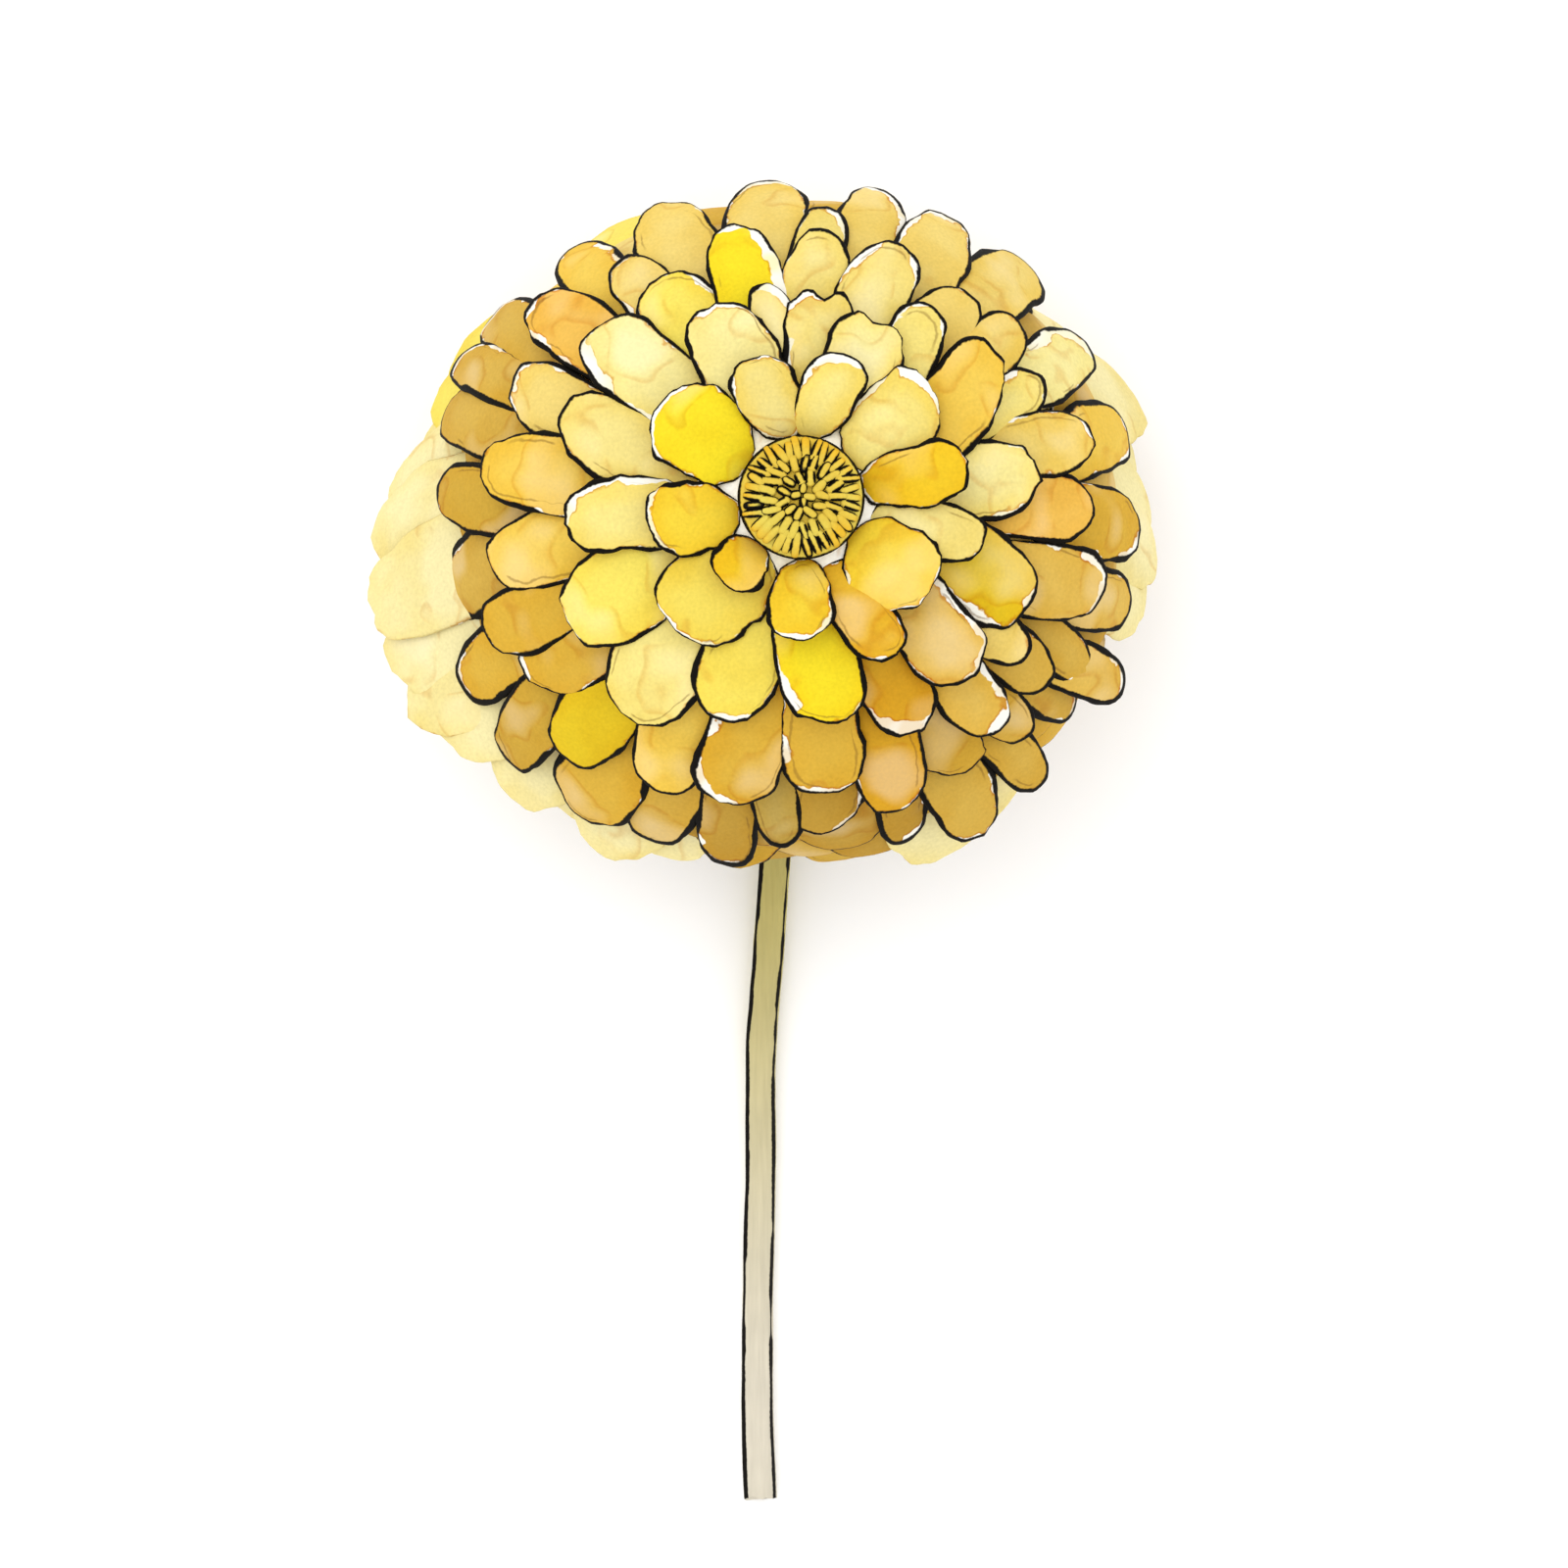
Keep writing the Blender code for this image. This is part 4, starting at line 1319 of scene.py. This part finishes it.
def eye_tree():
    """Geometry nodes: sets florets on the eye's dome."""
    tree, start, end = geometry_tree("florets_on_dome", {
        "Floret": "NodeSocketObject", "Dome": "NodeSocketObject", "Finish": "NodeSocketMaterial"})
    read = reader(tree)
    across, along, width = read("across"), read("along"), read("width")
    turn, azimuth = read("turn"), read("azimuth")
    turn_c, turn_s = turn.math("COSINE"), turn.math("SINE")
    aside = across * width * 0.5
    ahead = (along - 0.5) * read("length")
    offset = aside * turn_c - ahead * turn_s
    reach = read("radius") + ahead * turn_c + aside * turn_s
    radius = (reach * reach + offset * offset) ** 0.5
    fall = (radius / EYE_RADIUS).math("MINIMUM", 1.0)
    dome = (1.0 - fall * fall) ** 0.5 * (EYE_TOP - EYE_RIM_HIGH) + EYE_RIM_HIGH
    swell = 1.0 - across * across * 0.35
    x = reach * azimuth.math("COSINE") + offset * azimuth.math("SINE")
    y = reach * azimuth.math("SINE") - offset * azimuth.math("COSINE")
    z = dome + read("face") * read("height") * swell
    bend = moved(tree, copies(tree, start, "Floret"), Position=vector(tree, x, y, z))
    from_side = (1.0 - across.math("ABSOLUTE")) * width * 0.5 + (1.0 - ease(along, 0.1, 0.2))
    from_margin = read("rim") * width / (2.0 * FLORET_HALF_WIDTH)
    margin = from_side + (from_margin - from_side) * read("closed")
    marked = stored(tree, bend, "rim", margin)
    deep = stored(tree, marked, "outward", ease(radius, 1.6, EYE_RADIUS))
    end_tree(tree, joined(tree, deep, start, "Dome"), start, end)
    return tree


def eye_dome():
    """The dome that the florets stand on, turned about the eye's middle."""
    profile = [(0.0, EYE_RIM_LOW), (EYE_RADIUS - 0.5, EYE_RIM_LOW),
               (EYE_RADIUS - 0.12, EYE_RIM_HIGH - 0.3)]
    profile += [(EYE_RADIUS * math.sin(angle),
                 EYE_RIM_HIGH - 0.08 + (EYE_TOP - EYE_RIM_HIGH) * math.cos(angle))
                for angle in (math.radians(degrees) for degrees in (88, 72, 54, 36, 18, 0))]
    mesh = bmesh.new()
    rings = []
    for radius, height in profile:
        angles = [math.tau * k / EYE_SIDES for k in range(EYE_SIDES if radius > 1e-6 else 1)]
        rings.append([mesh.verts.new((radius * math.cos(angle), radius * math.sin(angle), height))
                      for angle in angles])
    for lower, upper in zip(rings, rings[1:]):
        for k in range(EYE_SIDES):
            corners = [lower[k % len(lower)], lower[(k + 1) % len(lower)],
                       upper[(k + 1) % len(upper)], upper[k % len(upper)]]
            mesh.faces.new(list(dict.fromkeys(corners)))
    bmesh.ops.recalc_face_normals(mesh, faces=mesh.faces)
    data = smooth_mesh("eye_dome", mesh)
    from_axis = [Vector(vert.co[:2]).length for vert in data.vertices]
    store(data, "rim", (abs(EYE_RADIUS - radius) for radius in from_axis))
    store(data, "ink", (EYE_RIM_INK for radius in from_axis))
    store(data, "outward", (EYE_DOME_DEPTH for radius in from_axis))
    return bpy.data.objects.new("eye_dome", data)


# Stem


def stem_route(steps):
    """The stem's smooth middle line, each point with its radius as a fourth number."""
    rows = [Vector((HEAD_AT.x + x, HEAD_AT.y + y, z, radius)) for x, y, z, radius in STEM_ROUTE]
    rows = [2.0 * rows[0] - rows[1]] + rows + [2.0 * rows[-1] - rows[-2]]
    route = []
    for before, start, end, after in zip(rows, rows[1:], rows[2:], rows[3:]):
        for step in range(steps):
            t = step / steps
            route.append(0.5 * (2.0 * start + (end - before) * t
                                + (2.0 * before - 5.0 * start + 4.0 * end - after) * t * t
                                + (3.0 * start - before - 3.0 * end + after) * t ** 3))
    return route + [rows[-2]]


def stem_points():
    """The stem's middle line as a mesh of edges, which carries its radius."""
    route = stem_route(STEM_STEPS)
    edges = [(k, k + 1) for k in range(len(route) - 1)]
    mesh = bpy.data.meshes.new("stem_line")
    mesh.from_pydata([point.to_3d() for point in route], edges, [])
    store(mesh, "thick", (point[3] for point in route))
    store(mesh, "from_cut", (k / len(edges) for k in range(len(route))))
    return mesh


def stem_tree():
    """Geometry nodes: sweeps a ribbed section along the stem's line."""
    tree, start, end = geometry_tree("ribbed_stalk", {
        "Ribs": "NodeSocketFloat", "Rib height": "NodeSocketFloat",
        "Finish": "NodeSocketMaterial"})
    read, knob = reader(tree), knobs(tree, start)
    line = add(tree, "GeometryNodeMeshToCurve", {"Mesh": start.outputs["Geometry"]})
    section = add(tree, "GeometryNodeCurvePrimitiveCircle",
                  {"Resolution": STEM_SIDES, "Radius": 1.0})
    spot = add(tree, "GeometryNodeInputPosition").outputs["Position"]
    marked = stored(tree, line.outputs["Curve"], "centre", spot, data_type="FLOAT_VECTOR")
    sweep = add(tree, "GeometryNodeCurveToMesh", {
        "Curve": marked, "Profile Curve": section.outputs["Curve"], "Scale": read("thick"),
        "Fill Caps": True})
    centre = add(tree, "GeometryNodeInputNamedAttribute", {"Name": "centre"},
                 data_type="FLOAT_VECTOR")
    arm = add(tree, "ShaderNodeVectorMath", {0: spot, 1: centre.outputs["Attribute"]},
              operation="SUBTRACT").outputs["Vector"]
    split = add(tree, "ShaderNodeSeparateXYZ", {"Vector": arm})
    aside, up = Signal(tree, split.outputs["X"]), Signal(tree, split.outputs["Z"])
    angle = up.math("ARCTAN2", aside)
    wave = (angle * knob("Ribs")).math("COSINE") * knob("Rib height")
    lump = (noise(tree, spot, 0.34, 2.0) - 0.5) * STEM_LUMPS
    swell = scaled(tree, arm, (wave + lump) / read("thick"))
    ragged = noise(tree, spot, 2.6, 2.0, seed=4.0) * CUT_DEPTH
    at_cut = 1.0 - ease(read("from_cut"), 0.0, CUT_PART)
    move = add(tree, "ShaderNodeVectorMath", {0: swell, 1: vector(tree, 0.0, ragged * at_cut, 0.0)},
               operation="ADD").outputs["Vector"]
    shaped = moved(tree, sweep.outputs["Mesh"], Offset=move)
    above = up.math("ARCTAN2", aside.math("ABSOLUTE"))
    from_line = (above - LINE_ABOVE).math("ABSOLUTE") * read("thick")
    sided = stored(tree, shaped, "above", from_line)
    smooth = add(tree, "GeometryNodeSetShadeSmooth", {"Geometry": sided})
    end_tree(tree, smooth.outputs["Geometry"], start, end)
    return tree


# Operators


class FLOWER_OT_stem(bpy.types.Operator):
    """Makes the dry stalk that lies on the table"""

    bl_idname = "flower.stem"
    bl_label = "Stem"

    def execute(self, context):
        settings = context.scene.flower_stem
        stem = grow("stem_dressed", stem_points(), stem_tree(), {
            "Ribs": float(settings.ribs), "Rib height": settings.rib_height / MM,
            "Finish": stem_material(settings, context.scene.flower_head.ink)})
        placed(stem.data, Matrix.Identity(4))
        pressed(stem.data, STEM_PRESSED)
        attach(stem, "root")
        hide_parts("stem")
        return {"FINISHED"}


class FLOWER_OT_outer_petals(bpy.types.Operator):
    """Makes the petals of the head's side, its back and its fringe, round the pad"""

    bl_idname = "flower.outer_petals"
    bl_label = "Outer petals"

    def execute(self, context):
        petals = [petal for petal in all_petals() if petal.tip > INNER_TO]
        make_petals("outer_petals", petals, head_pad())
        return {"FINISHED"}


class FLOWER_OT_inner_petals(bpy.types.Operator):
    """Makes the petals of the face round the eye"""

    bl_idname = "flower.inner_petals"
    bl_label = "Inner petals"

    def execute(self, context):
        petals = [petal for petal in all_petals() if petal.tip <= INNER_TO]
        make_petals("inner_petals", petals, None)
        return {"FINISHED"}


class FLOWER_OT_eye(bpy.types.Operator):
    """Makes the button of florets in the middle of the face"""

    bl_idname = "flower.eye"
    bl_label = "Eye"

    def execute(self, context):
        settings = context.scene.flower_eye
        outline = pad_outline(FLORET_SPOKES, FLORET_MIDDLE, FLORET_ROUNDNESS)
        floret = pad_template("flat_floret", outline, FLORET_HALF_WIDTH, FLORET_LENGTH,
                              FLORET_INSETS, (), FLORET_MIDDLE)
        eye = grow("eye_dressed", floret_points(settings.outer_count), eye_tree(), {
            "Floret": floret, "Dome": eye_dome(),
            "Finish": floret_material(settings, context.scene.flower_head.ink)})
        placed(eye.data, head_matrix())
        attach(eye, "root")
        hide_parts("eye")
        return {"FINISHED"}


class FLOWER_OT_stage(bpy.types.Operator):
    """Sets the pale floor, the soft light and the camera that looks down on the flower"""

    bl_idname = "flower.stage"
    bl_label = "Stage"

    def execute(self, context):
        settings = context.scene.flower_stage
        context.scene.view_settings.view_transform = "Standard"
        make_floor()
        light_stage(context.scene, settings)
        set_camera(context.scene, settings)
        return {"FINISHED"}


def make_floor():
    """A plain, pale floor, which isn't part of the flower."""
    corners = [(x * FLOOR_REACH, y * FLOOR_REACH, 0.0)
               for x, y in ((-1, -1), (1, -1), (1, 1), (-1, 1))]
    mesh = bpy.data.meshes.new("floor")
    mesh.from_pydata(corners, [], [(0, 1, 2, 3)])
    floor = bpy.data.objects.new("floor", mesh)
    material = bpy.data.materials.new("pale_floor")
    material.use_nodes = True
    surface = material.node_tree.nodes["Principled BSDF"]
    surface.inputs["Base Color"].default_value = FLOOR_COLOUR
    surface.inputs["Roughness"].default_value = 0.9
    mesh.materials.append(material)
    bpy.context.scene.collection.objects.link(floor)


def light_stage(scene, settings):
    """An even white light from all round, and a large soft lamp from the upper left."""
    world = bpy.data.worlds.new("even_light")
    world.use_nodes = True
    sky = world.node_tree.nodes["Background"]
    sky.inputs["Color"].default_value = (1.0, 1.0, 1.0, 1.0)
    sky.inputs["Strength"].default_value = settings.sky
    scene.world = world
    lamp = bpy.data.lights.new("soft_lamp", "AREA")
    lamp.energy = settings.lamp
    lamp.size = LAMP_SIZE
    hung = bpy.data.objects.new("soft_lamp", lamp)
    hung.location = LAMP_AT
    hung.rotation_euler = (LAMP_AT * -1.0).to_track_quat("-Z", "Y").to_euler()
    scene.collection.objects.link(hung)


def set_camera(scene, settings):
    """The camera, straight above the flower's middle."""
    view = bpy.data.cameras.new("camera")
    view.lens = view.sensor_width * settings.distance / settings.frame_width
    view.clip_start = 0.01
    camera = bpy.data.objects.new("camera", view)
    camera.location = (HEAD_AT + VIEW_MIDDLE) * MM + Vector((0.0, 0.0, settings.distance))
    scene.collection.objects.link(camera)
    scene.camera = camera


class FLOWER_PT_panel(bpy.types.Panel):
    """Lists the pieces of the flower and their settings"""

    bl_label = "Billy buttons stem"
    bl_idname = "FLOWER_PT_panel"
    bl_space_type = "VIEW_3D"
    bl_region_type = "UI"
    bl_category = "Flower"

    def draw(self, context):
        for operator in OPERATORS:
            self.layout.operator(operator.bl_idname)
        for name in SETTINGS:
            group = getattr(context.scene, name)
            box = self.layout.box()
            for key in group.bl_rna.properties.keys():
                if key not in ("rna_type", "name"):
                    box.prop(group, key)


OPERATORS = (FLOWER_OT_stem, FLOWER_OT_outer_petals, FLOWER_OT_inner_petals, FLOWER_OT_eye,
             FLOWER_OT_stage)
SETTINGS = {
    "flower_head": HeadSettings,
    "flower_eye": EyeSettings,
    "flower_stem": StemSettings,
    "flower_stage": StageSettings,
}


def register():
    """Registers the settings, the operators and the panel."""
    for name, kind in SETTINGS.items():
        bpy.utils.register_class(kind)
        setattr(bpy.types.Scene, name, PointerProperty(type=kind))
    for operator in OPERATORS:
        bpy.utils.register_class(operator)
    bpy.utils.register_class(FLOWER_PT_panel)


def unregister():
    """Takes the panel, the operators and the settings away again."""
    bpy.utils.unregister_class(FLOWER_PT_panel)
    for operator in reversed(OPERATORS):
        bpy.utils.unregister_class(operator)
    for name, kind in SETTINGS.items():
        delattr(bpy.types.Scene, name)
        bpy.utils.unregister_class(kind)


def main():
    """Makes the whole flower and its stage."""
    register()
    for operator in OPERATORS:
        group, name = operator.bl_idname.split(".")
        getattr(getattr(bpy.ops, group), name)()


if __name__ == "__main__":
    main()
